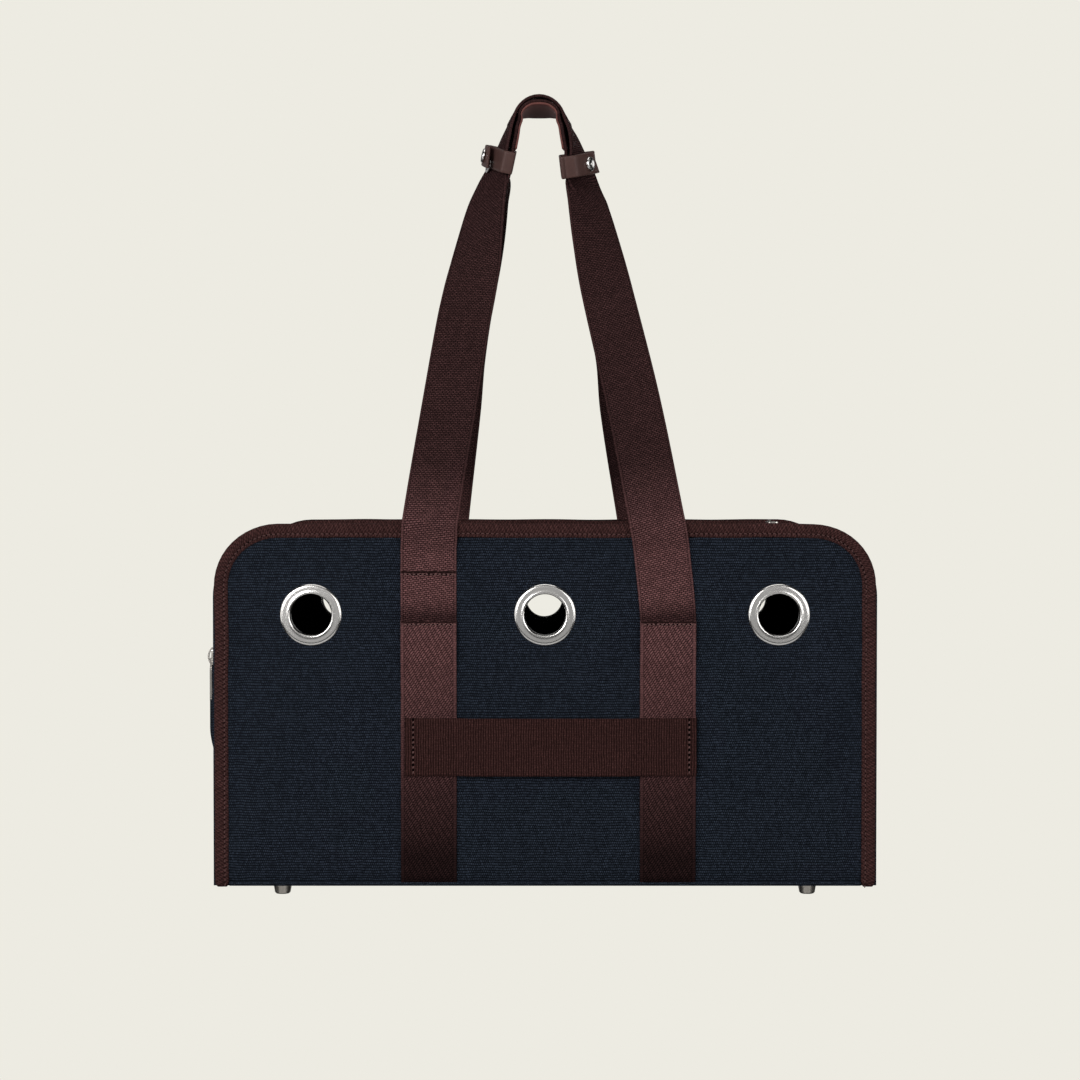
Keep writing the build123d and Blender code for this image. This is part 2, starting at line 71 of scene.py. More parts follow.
half_length = bind_high.x
body_bottom = bind_low.z
body_top = bind_high.z
face = -wall_low.y
inner_face = -box_mm("front_lining")[1].y
wall_back = -wall_high.y
roof_top = roof_high.z
roof_half = roof_high.x
corner_radius = 43.0
binding_width = 9.5
end_x = -box_mm("left_end_frame")[0].x
gusset_radius = end_x - roof_half
eyelet_low, eyelet_high = box_mm("front_eyelets")
eyelet_z = (eyelet_low.z + eyelet_high.z) / 2
eyelet_radius = (eyelet_high.z - eyelet_low.z) / 2
eyelet_x = eyelet_high.x - eyelet_radius
eyelet_places = (-eyelet_x, 0.0, eyelet_x)
canvas_hole = 17.0
cloth_thickness = 2.6

# The zips: how far canvas, coil and tape stand from the zip's middle line, and its round corners.
seam_reach = 5.0
coil_reach = 2.2
tape_reach = 10.0
tape_height = 1.0
sill_drop = 4.0
zip_radius = 30.0
door_half = door_high.y + seam_reach
door_sill = door_low.z
door_head = door_high.z + seam_reach
lid_half = lid_high.x + seam_reach
lid_back = lid_high.y
lid_front = -lid_low.y + seam_reach

strap_width = 38.0
strap_thickness = 2.0
WALLS = (("front", -1), ("rear", 1))


# ---------------------------------------------------------------- materials


def add_node(tree, kind, inputs=None, **settings):
    """A shader node with its settings and its inputs, each a value or another node's output."""
    node = tree.nodes.new("ShaderNode" + kind)
    for key, value in settings.items():
        setattr(node, key, value)
    for socket, value in (inputs or {}).items():
        if isinstance(value, bpy.types.NodeSocket):
            tree.links.new(value, node.inputs[socket])
        else:
            node.inputs[socket].default_value = value
    return node


def calc(tree, operation, a, b=0.0, c=0.0):
    """The output of one Math node."""
    return add_node(tree, "Math", {0: a, 1: b, 2: c}, operation=operation).outputs[0]


def start_material(name, **sockets):
    """A material with a Principled shader whose plain sockets are set."""
    material = bpy.data.materials.new(name)
    material.use_nodes = True
    tree = material.node_tree
    tree.nodes.clear()
    output = add_node(tree, "OutputMaterial")
    shader = add_node(tree, "BsdfPrincipled", sockets)
    tree.links.new(shader.outputs["BSDF"], output.inputs["Surface"])
    return material, tree, shader


def scaled(tree, factor, colour):
    """A colour multiplied by a varying factor."""
    grey = add_node(tree, "CombineColor", {0: factor, 1: factor, 2: factor}).outputs[0]
    inputs = {0: 1.0, 6: (*colour, 1), 7: grey}
    return add_node(tree, "Mix", inputs, data_type="RGBA", blend_type="MULTIPLY").outputs[2]


def mottle(tree, place, scale, detail):
    """Noise of a scale over a place."""
    return add_node(tree, "TexNoise", {"Vector": place, "Scale": scale, "Detail": detail}).outputs[0]


def stripes(tree, value, pitch):
    """A wave from 0 to 1 that repeats every pitch."""
    return calc(tree, "ABSOLUTE", calc(tree, "SINE", calc(tree, "MULTIPLY", value, pi / pitch)))


def shade_in(tree, value, start, end, share):
    """A factor that rises from a share at start to 1 at end."""
    return add_node(tree, "MapRange", {0: value, 1: start, 2: end, 3: share, 4: 1.0}).outputs[0]


def emboss(tree, shader, height, strength, distance):
    """Bumps from a height, with their distance in millimetres."""
    bump = add_node(tree, "Bump", {"Height": height, "Strength": strength, "Distance": distance * MM})
    tree.links.new(bump.outputs[0], shader.inputs["Normal"])


def woven(
    name, colour, yarn, row, twill=0.0, rib=0.0, cord=0.0, selvedge=0.0, depth=0.25, contrast=0.5, painted_shade=None,
    painted_fold_shadow=None,
):
    """Woven cloth in the piece's own cloth map, in millimetres.

    Yarns of length yarn lie in rows of height row, and the rows rise by twill for each step across. There is
    a dark line every rib, a cord across the piece every cord, and a beaded band beyond selvedge.
    fade is (start, end, share, length), a painted shade: counted from the nearer end of a strap of that
    length, the yarn has a share of its tone at start and all of it at end. dip, (start, end, share), paints a
    shadow the same way near the strap's ends.
    """
    material, tree, shader = start_material(name, **{"Roughness": 0.9, "Specular IOR Level": 0.04})
    cloth = add_node(tree, "UVMap", uv_map="Cloth").outputs["UV"]
    parts = add_node(tree, "SeparateXYZ", {0: cloth})
    along, across = parts.outputs[0], parts.outputs[1]
    waver = mottle(tree, cloth, 0.09, 2.0)
    # A shallow twill runs along the strap, so its yarns are counted across it.
    moved = calc(tree, "MULTIPLY_ADD", waver, yarn, across if 0 < twill < 1 else along)
    bent = calc(tree, "MULTIPLY_ADD", waver, row, across)
    if twill:
        steep = 1.0 / hypot(1.0, twill)
        bent = calc(tree, "MULTIPLY_ADD", bent, -twill * steep, calc(tree, "MULTIPLY", along, steep))
    place = add_node(tree, "CombineXYZ", {0: moved, 1: bent})
    brick_inputs = {
        "Vector": place.outputs[0],
        "Color1": (0.0, 0.0, 0.0, 1),
        "Color2": (1.0, 1.0, 1.0, 1),
        "Mortar": (0.5, 0.5, 0.5, 1),
        "Scale": 1.0,
        "Mortar Size": 0.32 * min(row, yarn / 2),
        "Mortar Smooth": 1.0,
        "Brick Width": yarn,
        "Row Height": row,
    }
    bricks = add_node(tree, "TexBrick", brick_inputs, offset=0.5)
    height = calc(tree, "SUBTRACT", 1.0, bricks.outputs["Fac"])
    if rib:
        groove = stripes(tree, bent, rib)
        height = calc(tree, "MULTIPLY", height, calc(tree, "MULTIPLY_ADD", groove, 0.6, 0.4))
    if cord:
        groove = stripes(tree, moved, cord)
        height = calc(tree, "MULTIPLY", calc(tree, "MULTIPLY_ADD", height, 0.5, 0.5), groove)
    if selvedge:
        middle_gap = calc(tree, "ABSOLUTE", across)
        inside = calc(tree, "LESS_THAN", middle_gap, selvedge)
        woven_edge = calc(tree, "MULTIPLY_ADD", stripes(tree, along, 1.5), 0.5, 0.4)
        height = calc(tree, "MULTIPLY", inside, height)
        height = calc(tree, "MULTIPLY_ADD", calc(tree, "SUBTRACT", 1.0, inside), woven_edge, height)
        edge_line = calc(tree, "ABSOLUTE", calc(tree, "SUBTRACT", middle_gap, selvedge))
        edge_line = calc(tree, "MINIMUM", calc(tree, "MULTIPLY", edge_line, 1.6), 1.0)
        height = calc(tree, "MULTIPLY", height, calc(tree, "MULTIPLY_ADD", edge_line, 0.55, 0.45))
    factors = [
        calc(tree, "MULTIPLY_ADD", bricks.outputs["Color"], 0.3 * contrast, 1.0 - 0.15 * contrast),
        calc(tree, "MULTIPLY_ADD", mottle(tree, cloth, 0.03, 4.0), 0.3, 0.85),
        calc(tree, "MULTIPLY", mottle(tree, cloth, 1.1, 3.0), 2.0),
    ]
    # Painted shade along a strap, and a painted shadow near its ends.
    if painted_shade:
        start, end, share, length = painted_shade
        end_gap = calc(tree, "MINIMUM", along, calc(tree, "SUBTRACT", length, along))
        factors.append(shade_in(tree, end_gap, start, end, share))
        if painted_fold_shadow:
            factors.append(shade_in(tree, end_gap, *painted_fold_shadow))
    light = calc(tree, "MAXIMUM", calc(tree, "MULTIPLY_ADD", height, contrast, 1.0 - contrast * 0.6), 0.12)
    for factor in factors:
        light = calc(tree, "MULTIPLY", light, factor)
    tree.links.new(scaled(tree, light, colour), shader.inputs["Base Color"])
    emboss(tree, shader, height, 1.0, depth)
    return material


def leather(name, colour, shine):
    """Smooth full-grain leather with fine pores and a soft shine."""
    material, tree, shader = start_material(name, **{"Roughness": 0.42, "Specular IOR Level": shine})
    cloth = add_node(tree, "UVMap", uv_map="Cloth").outputs["UV"]
    pores = add_node(tree, "TexVoronoi", {"Vector": cloth, "Scale": 1.7}, feature="DISTANCE_TO_EDGE")
    light = calc(tree, "MULTIPLY_ADD", mottle(tree, cloth, 0.15, 5.0), 0.5, 0.75)
    tree.links.new(scaled(tree, light, colour), shader.inputs["Base Color"])
    emboss(tree, shader, pores.outputs[0], 0.25, 0.1)
    return material


def metal(name, colour, roughness, brushed=0.0):
    """Plated metal: fine scratches, and a ring brush where brushed."""
    material, tree, shader = start_material(name, **{"Metallic": 1.0, "Base Color": (*colour, 1)})
    place = add_node(tree, "TexCoord").outputs["Object"]
    rough = calc(tree, "MULTIPLY_ADD", mottle(tree, place, 900.0, 4.0), roughness * 0.5, roughness * 0.75)
    tree.links.new(rough, shader.inputs["Roughness"])
    if brushed:
        flat = add_node(tree, "Mapping", {"Vector": place, "Scale": (40.0, 40.0, 4000.0)})
        emboss(tree, shader, mottle(tree, flat.outputs[0], 1.0, 2.0), brushed, 0.05)
    return material


def plain(name, colour, roughness, specular=0.3, grain=0.3):
    """Moulded or spun stuff: a colour with a fine grain in it."""
    material, tree, shader = start_material(name, **{"Roughness": roughness, "Specular IOR Level": specular})
    fine = mottle(tree, add_node(tree, "TexCoord").outputs["Object"], 1500.0, 3.0)
    light = calc(tree, "MULTIPLY_ADD", fine, grain, 1.0 - grain / 2)
    tree.links.new(scaled(tree, light, colour), shader.inputs["Base Color"])
    emboss(tree, shader, fine, 0.2, 0.1)
    return material


NAVY = (0.0099, 0.0130, 0.0190)
BROWN = (0.083, 0.0375, 0.037)
DARK_BROWN = (0.0315, 0.0130, 0.0118)

canvas = woven("canvas", NAVY, yarn=1.45, row=1.8, rib=1.8, depth=0.4, contrast=2.3)
binding_tape = woven("binding_tape", (0.036, 0.0155, 0.0145), yarn=1.8, row=1.4, twill=1.0, contrast=1.2)
weave = {"yarn": 3.0, "row": 1.5, "twill": 1.43, "selvedge": 16.6, "depth": 0.3, "contrast": 1.35}
long_weave = {"yarn": 2.6, "row": 1.4, "twill": 0.14, "selvedge": 17.4, "depth": 0.3, "contrast": 1.6}
# Painted sheen and shade: the wall straps keep their full tone high up, standing in for the yarn's sheen, and
# darken to 0.14 of it towards their foot.
webbing = woven("webbing", BROWN, painted_shade=(30.0, 165.0, 0.14, 900.0), **weave)
ribbed_webbing = woven("ribbed_webbing", DARK_BROWN, yarn=1.7, row=1.2, cord=1.7, depth=0.3, contrast=1.6)
zip_tape = woven("zip_tape", (0.03, 0.015, 0.0145), yarn=1.2, row=0.8, depth=0.15, contrast=0.4)
black_lining = woven("black_lining", (0.0035, 0.0035, 0.004), yarn=1.0, row=0.6, depth=0.1, contrast=0.3)
mat_cloth = woven("mat_cloth", (0.012, 0.012, 0.013), yarn=1.2, row=0.8, depth=0.2, contrast=0.4)
leather_brown = leather("leather_brown", (0.070, 0.036, 0.031), shine=0.16)
# Painted light: the arch lining is the keepers' brown leather, lifted to about twice their tone because it
# lies under the arch in shade.
arch_leather_painted_light = leather("arch_leather_painted_light", (0.143, 0.056, 0.049), shine=0.03)
polished = metal("polished_nickel", (0.86, 0.84, 0.82), 0.05)
bright_ring = metal("bright_ring", (0.84, 0.82, 0.79), 0.22)
satin = metal("satin_nickel", (0.62, 0.58, 0.53), 0.25, brushed=0.3)
foot_metal = metal("brushed_nickel", (0.58, 0.54, 0.48), 0.34, brushed=0.6)
thread = plain("thread", (0.115, 0.06, 0.056), 0.8, specular=0.2, grain=0.5)
# Painted shade: near-black beads stand in for the shadow inside needle holes.
needle_hole_shade = plain("needle_hole_shade", (0.003, 0.002, 0.002), 1.0, specular=0.0)
# Painted shadow: the tone of the dark cord laid over each stitch row.
seam_shade = plain("seam_shade", (0.014, 0.007, 0.0065), 1.0, specular=0.0)
binding_thread = plain("binding_thread", (0.085, 0.042, 0.039), 0.8, specular=0.2, grain=0.5)
zip_plastic = plain("zip_plastic", (0.03, 0.015, 0.014), 0.45, specular=0.4)
board_black = plain("board_black", (0.01, 0.01, 0.01), 0.8)


# ---------------------------------------------------------------- making meshes


def add_piece(name, points, faces, uvs, materials, slot, body="shell", replaces=()):
    """A piece from points in millimetres and faces, with uvs for each corner's place in the cloth map."""
    mesh = bpy.data.meshes.new(name)
    mesh.from_pydata([tuple(p * MM) for p in points], [], faces)
    layer = mesh.uv_layers.new(name="Cloth")
    for polygon, corners in zip(mesh.polygons, uvs or [[(0.0, 0.0)] * len(corners) for corners in faces]):
        polygon.use_smooth = True
        for loop, uv in zip(polygon.loop_indices, corners):
            layer.data[loop].uv = uv
    for material in materials:
        mesh.materials.append(material)
    mesh.validate()
    piece = bpy.data.objects.new(name, mesh)
    bpy.context.scene.collection.objects.link(piece)
    if body:
        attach(piece, body)
    if replaces:
        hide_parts(*replaces)
    return piece


class Station:
    """A place on a route: its point, the directions of a section's two axes, and the run so far."""

    def __init__(self, point, out, up, run, slant=0.0):
        self.point = point
        self.out = out
        self.up = up
        self.run = run
        self.along = out.cross(up).normalized()
        self.slant = slant

    def at(self, a, b):
        return self.point + self.out * a + self.up * b + self.along * (self.slant * a)


def enclosed(points, faces):
    """Six times the volume inside a closed mesh, negative when its faces look inwards."""
    total = 0.0
    for corners in faces:
        for b, c in zip(corners[1:], corners[2:]):
            total += points[corners[0]].dot(points[b].cross(points[c]))
    return total


def sweep(name, stations, section, material, slot, across=None, closed=False, **kinds):
    """A closed section carried along stations: (a, b) pairs on its two axes, or a function giving them."""
    rings = [section(station) if callable(section) else section for station in stations]
    count = len(rings[0])
    points = [s.at(a, b) for s, ring in zip(stations, rings) for a, b in ring]
    if across is None:
        across = [0.0]
        ring = rings[0]
        for i in range(count):
            (a, b), (c, d) = ring[i], ring[(i + 1) % count]
            across.append(across[-1] + hypot(c - a, d - b))
    else:
        across = list(across) + [across[0]]
    faces, uvs = [], []
    spans = len(stations) if closed else len(stations) - 1
    for i in range(spans):
        j = (i + 1) % len(stations)
        run_i = stations[i].run
        run_j = stations[j].run if j else run_i + (stations[1].run - stations[0].run)
        for k in range(count):
            m = (k + 1) % count
            a, b = across[k], across[k + 1]
            faces.append((i * count + k, i * count + m, j * count + m, j * count + k))
            uvs.append(((run_i, a), (run_i, b), (run_j, b), (run_j, a)))
    if not closed:
        for i, order in ((0, range(count - 1, -1, -1)), (len(stations) - 1, range(count))):
            faces.append(tuple(i * count + k for k in order))
            uvs.append(tuple((stations[i].run, across[k]) for k in order))
    if enclosed(points, faces) < 0:
        faces = [corners[::-1] for corners in faces]
        uvs = [corners[::-1] for corners in uvs]
    return add_piece(name, points, faces, uvs, [material], slot, **kinds)


def strap_section(width, thickness, columns=12):
    """Flat faces and round selvedges. Returns the section's points and their places across the strap."""
    half = (width - thickness) / 2
    top = [(half * (2 * i / columns - 1), thickness / 2) for i in range(columns + 1)]
    edge = [(half + thickness / 2 * cos(radians(t)), thickness / 2 * sin(radians(t))) for t in (50, 0, -50)]
    bottom = [(a, -thickness / 2) for a, b in reversed(top)]
    other = [(-a, -b) for a, b in edge]
    points = top + edge + bottom + other
    return points, [a for a, b in points]


def oval(half_a, half_b, sides=10):
    """A round or oval section."""
    return [(half_a * cos(2 * pi * k / sides), half_b * sin(2 * pi * k / sides)) for k in range(sides)]


def smooth_step(value, start, end):
    """Rises smoothly from 0 at start to 1 at end."""
    share = max(0.0, min(1.0, (value - start) / (end - start)))
    return share * share * (3 - 2 * share)


def spread(start, end, step):
    """Evenly spaced values from start to end, about step apart."""
    count = max(1, round(abs(end - start) / step))
    return [start + (end - start) * i / count for i in range(count + 1)]


# ---------------------------------------------------------------- outlines


def outline(half, bottom, top, radius, step=4.0, turns=12):
    """A rectangle with round upper corners, from its lower left up and over to its lower right:
    (u, v, outward u, outward v, run) for each place."""

    def corner(centre_u, start):
        """The places of a quarter turn clockwise from the angle start."""
        angles = [start - i * pi / 2 / turns for i in range(1, turns + 1)]
        centre_v = top - radius
        return [(centre_u + radius * cos(t), centre_v + radius * sin(t), cos(t), sin(t)) for t in angles]

    places = [(-half, v, -1.0, 0.0) for v in spread(bottom, top - radius, step)]
    places += corner(radius - half, pi)
    places += [(u, top, 0.0, 1.0) for u in spread(radius - half, half - radius, step)[1:]]
    places += corner(half - radius, pi / 2)
    places += [(half, v, 1.0, 0.0) for v in spread(top - radius, bottom, step)[1:]]
    run = 0.0
    result = []
    for i, (u, v, du, dv) in enumerate(places):
        if i:
            run += hypot(u - places[i - 1][0], v - places[i - 1][1])
        result.append((u, v, du, dv, run))
    return result


def on_front(y, side=-1):
    """Maps an outline to the front wall at depth y, or to the rear wall mirrored."""
    return lambda u, v: Vector((u, side * y, v)), lambda du, dv: Vector((du, 0, dv)), Vector((0, side, 0))


def on_left_end(x):
    """Maps an outline to the left end."""
    return lambda u, v: Vector((x, -u, v)), lambda du, dv: Vector((0, -du, dv)), Vector((-1, 0, 0))


def on_roof(z):
    """Maps an outline to the roof."""
    return lambda u, v: Vector((-u, -v, z)), lambda du, dv: Vector((-du, -dv, 0)), Vector((0, 0, 1))


def stations_of(places, plane):
    """Stations round an outline on one of the planes above."""
    point, direction, up = plane
    return [Station(point(u, v), direction(du, dv), up, run) for u, v, du, dv, run in places]


def on_tombstone(u, v, half, bottom, top, radius):
    """The nearest place on a rectangle's edge with round upper corners."""
    if v > top - radius and abs(u) > half - radius:
        centre_u = (half - radius) * (1 if u > 0 else -1)
        centre_v = top - radius
        size = hypot(u - centre_u, v - centre_v) or 1.0
        return centre_u + (u - centre_u) * radius / size, centre_v + (v - centre_v) * radius / size
    gaps = ((half - abs(u), "side"), (top - v, "top"), (v - bottom, "bottom"))
    nearest = min(gaps, key=lambda gap: abs(gap[0]))[1]
    if nearest == "side":
        return half * (1 if u > 0 else -1), v
    return u, top if nearest == "top" else bottom


def in_tombstone(u, v, half, bottom, top, radius):
    """Whether a place is inside a rectangle with round upper corners."""
    if abs(u) >= half or v <= bottom or v >= top:
        return False
    if v > top - radius and abs(u) > half - radius:
        return hypot(abs(u) - half + radius, v - top + radius) < radius
    return True


def sheet(name, us, vs, place, thickness=cloth_thickness, keep=None, snap=None, **kinds):
    """A sheet of canvas over a grid of (u, v), with its outer face at place(u, v) and a lining on its back.

    us(v) gives a row's places. keep(u, v) says which cells stay, and snap(u, v) moves the cut edge onto its
    outline.
    """
    columns = len(us(vs[0]))
    grid = [[(u, v) for u in us(v)] for v in vs]
    cells = {}
    for j in range(len(vs) - 1):
        for i in range(columns - 1):
            corners = [grid[j][i], grid[j][i + 1], grid[j + 1][i + 1], grid[j + 1][i]]
            middle = (sum(c[0] for c in corners) / 4, sum(c[1] for c in corners) / 4)
            cells[i, j] = keep is None or keep(*middle)
    if snap:
        for j in range(len(vs)):
            for i in range(columns):
                around = [cells[a, b] for a in (i - 1, i) for b in (j - 1, j) if (a, b) in cells]
                if any(around) and not all(around):
                    grid[j][i] = snap(*grid[j][i])
    index, points, flat = {}, [], []
    for j in range(len(vs)):
        for i in range(columns):
            if any(cells.get((a, b)) for a in (i - 1, i) for b in (j - 1, j)):
                index[i, j] = len(points)
                points.append(place(*grid[j][i]))
                flat.append(grid[j][i])
    faces = [
        (index[i, j], index[i + 1, j], index[i + 1, j + 1], index[i, j + 1])
        for (i, j), kept in cells.items()
        if kept
    ]
    uvs = [tuple(flat[k] for k in corners) for corners in faces]
    piece = add_piece(name, points, faces, uvs, [canvas, black_lining], "canvas", **kinds)
    thicken = piece.modifiers.new("thickness", "SOLIDIFY")
    thicken.thickness = thickness * MM
    thicken.offset = -1
    thicken.use_even_offset = True
    thicken.material_offset = 1


def tombstone_grid(half, bottom, top, radius, step, share_step, sign=1):
    """A function for the places along a tombstone's rows, and the heights of its rows."""
    rows = spread(bottom, top - radius, step)
    turns = 10
    rows += [top - radius + radius * sin(pi / 2 * i / turns) for i in range(1, turns + 1)]
    shares = [sign * share for share in spread(-1.0, 1.0, share_step)]

    def columns(v):
        rise = max(0.0, min(radius, v - top + radius))
        half_there = half - radius + sqrt(max(0.0, radius * radius - rise * rise))
        return [share * half_there for share in shares]

    return columns, rows


# ---------------------------------------------------------------- stitching


def resample(points, ups, pitch):
    """Places every pitch along a line of points, each with its direction and up vector."""
    found, travelled, due = [], 0.0, pitch / 2
    for a, b, up in zip(points, points[1:], ups):
        span = (b - a).length
        while span and due <= travelled + span:
            found.append((a.lerp(b, (due - travelled) / span), (b - a).normalized(), up))
            due += pitch
        travelled += span
    return found


def seam_places(stations, a, b, pitch):
    """Places every pitch along stations, at (a, b) on their axes."""
    return resample([station.at(a, b) for station in stations], [station.up for station in stations], pitch)


def beads(name, places, length, radius, material, slot="webbing", tilt=0.0, body="shell"):
    """Small spindles lying along a line, for stitches, the painted shade of needle holes, and zip teeth."""
    points, faces = [], []
    profile = ((-0.5, 0.25), (-0.3, 0.85), (0.0, 1.0), (0.3, 0.85), (0.5, 0.25))
    sides = 6
    for centre, direction, up in places:
        side = direction.cross(up).normalized()
        lie = (direction * cos(tilt) + side * sin(tilt)).normalized()
        side = lie.cross(up).normalized()
        base = len(points)
        for share, swell in profile:
            for k in range(sides):
                angle = 2 * pi * k / sides
                offset = side * cos(angle) + up * sin(angle)
                points.append(centre + lie * (share * length) + offset * (radius * swell))
        for ring in range(len(profile) - 1):
            for k in range(sides):
                m = (k + 1) % sides
                start = base + ring * sides
                faces.append((start + k, start + m, start + sides + m, start + sides + k))
        last = base + (len(profile) - 1) * sides
        faces.append(tuple(base + k for k in reversed(range(sides))))
        faces.append(tuple(last + k for k in range(sides)))
    return add_piece(name, points, faces, None, [material], slot, body=body)


def lathe(name, centres, axis, profile, sides=72, **kinds):
    """Rings of bright metal turned about axis from a closed (radius, height) profile, or discs where it
    starts on the axis."""
    axis = axis.normalized()
    first = axis.orthogonal().normalized()
    second = axis.cross(first)
    points, faces = [], []
    count = len(profile)
    for centre in centres:
        base = len(points)
        for i in range(sides):
            angle = 2 * pi * i / sides
            spoke = first * cos(angle) + second * sin(angle)
            points += [centre + spoke * max(radius, 0.02) + axis * height for radius, height in profile]
        for i in range(sides):
            j = (i + 1) % sides
            for k in range(count):
                m = (k + 1) % count
                near, far = base + i * count, base + j * count
                faces.append((near + k, far + k, far + m, near + m))
    if enclosed(points, faces) < 0:
        faces = [corners[::-1] for corners in faces]
    add_piece(name, points, faces, None, [bright_ring], "nickel", **kinds)


# ---------------------------------------------------------------- front and rear walls


strap_centres = {
    side_name: sum(corner.x for corner in box_mm(f"front_{side_name}_strap")) / 2
    for side_name in ("left", "right")
}

# Creases in the canvas: the two ends of each, its depth and its width.
creases = (
    ((-232, 168), (-184, 60), -2.6, 8), ((-220, 178), (-164, 66), 1.8, 9),
    ((234, 186), (176, 92), -2.6, 8), ((222, 96), (172, 10), 2.0, 10),
    ((236, 66), (168, 30), -1.4, 6), ((236, 46), (182, 14), 1.6, 8),
)


# Distances from an eyelet, a strap and a sewn edge at which the canvas lies flat, and at which it hangs free.
eyelet_hold = (21.0, 48.0)
strap_hold = (19.0, 40.0)
edge_hold = (0.0, 26.0)


def crease(x, z, start, end, depth, width):
    """A soft crease along a line on the wall, fading out towards its ends."""
    line = Vector(end) - Vector(start)
    place = Vector((x, z)) - Vector(start)
    share = place.dot(line) / line.length_squared
    if not 0 < share < 1:
        return 0.0
    return depth * sin(pi * share) * exp(-(((place - line * share).length / width) ** 2))


def billow(x, z):
    """How far the canvas stands out from its flat place, fading where it is sewn or riveted."""
    free = 1.0
    for centre in eyelet_places:
        free *= smooth_step(hypot(x - centre, z - eyelet_z), *eyelet_hold)
    for centre in strap_centres.values():
        free *= smooth_step(abs(x - centre), *strap_hold)
    edge = min(half_length - binding_width - abs(x), body_top - binding_width - z, z - body_bottom - 6)
    free *= smooth_step(edge, *edge_hold)
    ripple = 0.9 * noise.noise(Vector((x * 0.021, z * 0.013, 3.1)))
    ripple += 0.7 * noise.noise(Vector((x * 0.047, z * 0.02, 8.4)))
    side_fold = 1.3 * smooth_step(abs(x), 150.0, 200.0) * sin((z - 40.0) / 33.0)
    folds = sum(crease(x, z, *fold) for fold in creases)
    return free * (1.1 + 1.4 * ripple + side_fold) + min(1.0, 2.0 * free) * folds


tuck_depth, tuck_height = 2.6, 13.0


def tuck(z):
    """The wall's foot curls under towards the base."""
    return tuck_depth * (1.0 - smooth_step(z, body_bottom - 1.0, body_bottom + tuck_height))


wall_inset = 0.8
wall_columns, wall_rows = tombstone_grid(
    half_length - wall_inset, body_bottom, body_top - wall_inset, corner_radius - wall_inset, 4.0,
    4.0 / half_length,
)


def at_eyelet(x):
    """The middle of the nearest eyelet."""
    return min(eyelet_places, key=lambda centre: abs(x - centre))


def onto_eyelet(x, z):
    """The canvas is cut round the eyelets' holes."""
    centre = at_eyelet(x)
    size = hypot(x - centre, z - eyelet_z)
    if size > canvas_hole + 8:
        return x, z
    return centre + (x - centre) * canvas_hole / size, eyelet_z + (z - eyelet_z) * canvas_hole / size


for wall_name, side in WALLS:
    sheet(
        f"{wall_name}_wall_canvas",
        wall_columns,
        wall_rows if side < 0 else wall_rows[::-1],
        lambda x, z, side=side: Vector((x, side * (face + billow(x * side, z) - tuck(z)), z)),
        thickness=face - inner_face,
        keep=lambda x, z: hypot(x - at_eyelet(x), z - eyelet_z) > canvas_hole,
        snap=onto_eyelet,
        replaces=(f"{wall_name}_panel", f"{wall_name}_lining"),
    )

# Eyelets: a rolled ring with a shallow valley between its two beads.
ring_profile = [
    (13.9, -5.5), (13.9, -0.6), (14.0, 0.4), (14.3, 1.15), (14.8, 1.6), (15.3, 1.7), (15.8, 1.58),
    (16.4, 1.45), (17.4, 1.45), (18.6, 1.45), (19.5, 1.42), (20.1, 1.2), (20.7, 0.75), (21.1, 0.15),
    (21.25, -0.4), (20.6, -0.6), (15.2, -0.6), (15.2, -5.5),
]
for wall_name, side in WALLS:
    centres = [Vector((x, side * face, eyelet_z)) for x in eyelet_places]
    lathe(
        f"{wall_name}_rolled_eyelets", centres, Vector((0, side, 0)), ring_profile, sides=120,
        replaces=(f"{wall_name}_eyelets",),
    )

seam_in = -6.9
seam_pitch = 3.3


def binding_section(station):
    """The binding folded over the wall's edge, with a sewn groove that is deeper round the corners. Outward
    from the edge is a, and out of the wall is b."""
    corner = abs(station.out.x * station.out.z) * 2
    groove = 0.7 + 0.9 * corner
    swell = 1.0 + 0.12 * noise.noise(Vector((station.run * 0.05, 1.7, 0.0)))
    waver = 0.35 * noise.noise(Vector((station.run * 0.03, 5.2, 0.0)))
    gap = max(0.0, min(4.5, station.point.z - body_bottom + 1.0)) / 4.5
    turned = max(0.35, sqrt(1.0 - (1.0 - gap) ** 2))
    profile = [
        (-9.5 + waver, 0.1), (-9.3 + waver, 0.8), (-8.4, 1.15 * swell), (-7.5, 1.15 * swell),
        (seam_in, 1.15 - groove), (-6.2, 1.2 * swell), (-5.0, 1.5 * swell), (-3.2, 1.6 * swell),
        (-1.5, 1.45 * swell), (-0.5, 0.9), (0.0 + waver, -0.2), (0.1 + waver, -1.8), (-0.2, -3.2),
        (-1.0, -4.2), (-2.5, -4.8), (-5.0, -5.0), (-8.6, -4.8), (-9.4, -4.3),
    ]
    return [(-4.7 + (a + 4.7) * (0.5 + 0.5 * turned), -1.8 + (b + 1.8) * turned) for a, b in profile]


for wall_name, side in WALLS:
    places = outline(half_length, body_bottom - 0.8, body_top, corner_radius, step=2.0)
    stations = stations_of(places, on_front(face, side))
    for station in stations:
        waver = 0.5 * noise.noise(Vector((station.run * 0.021, 9.0 + side, 0.0))) - 0.2
        station.point += station.out * waver
        station.point.y -= side * 0.6 * tuck(station.point.z)
    sweep(
        f"{wall_name}_edge_binding", stations, binding_section, binding_tape, "binding",
        replaces=(f"{wall_name}_binding",),
    )
    seam = seam_places(stations, seam_in, 0.75, seam_pitch)
    beads(
        f"{wall_name}_binding_stitches", seam, length=2.3, radius=0.42, material=binding_thread,
        slot="binding", tilt=0.12,
    )
    # Dark beads between the stitches paint the needle holes' shade.
    holes = seam_places(stations[1:], seam_in, 0.62, seam_pitch)
    beads(
        f"{wall_name}_binding_holes", holes, length=1.2, radius=0.5, material=needle_hole_shade, slot="binding"
    )

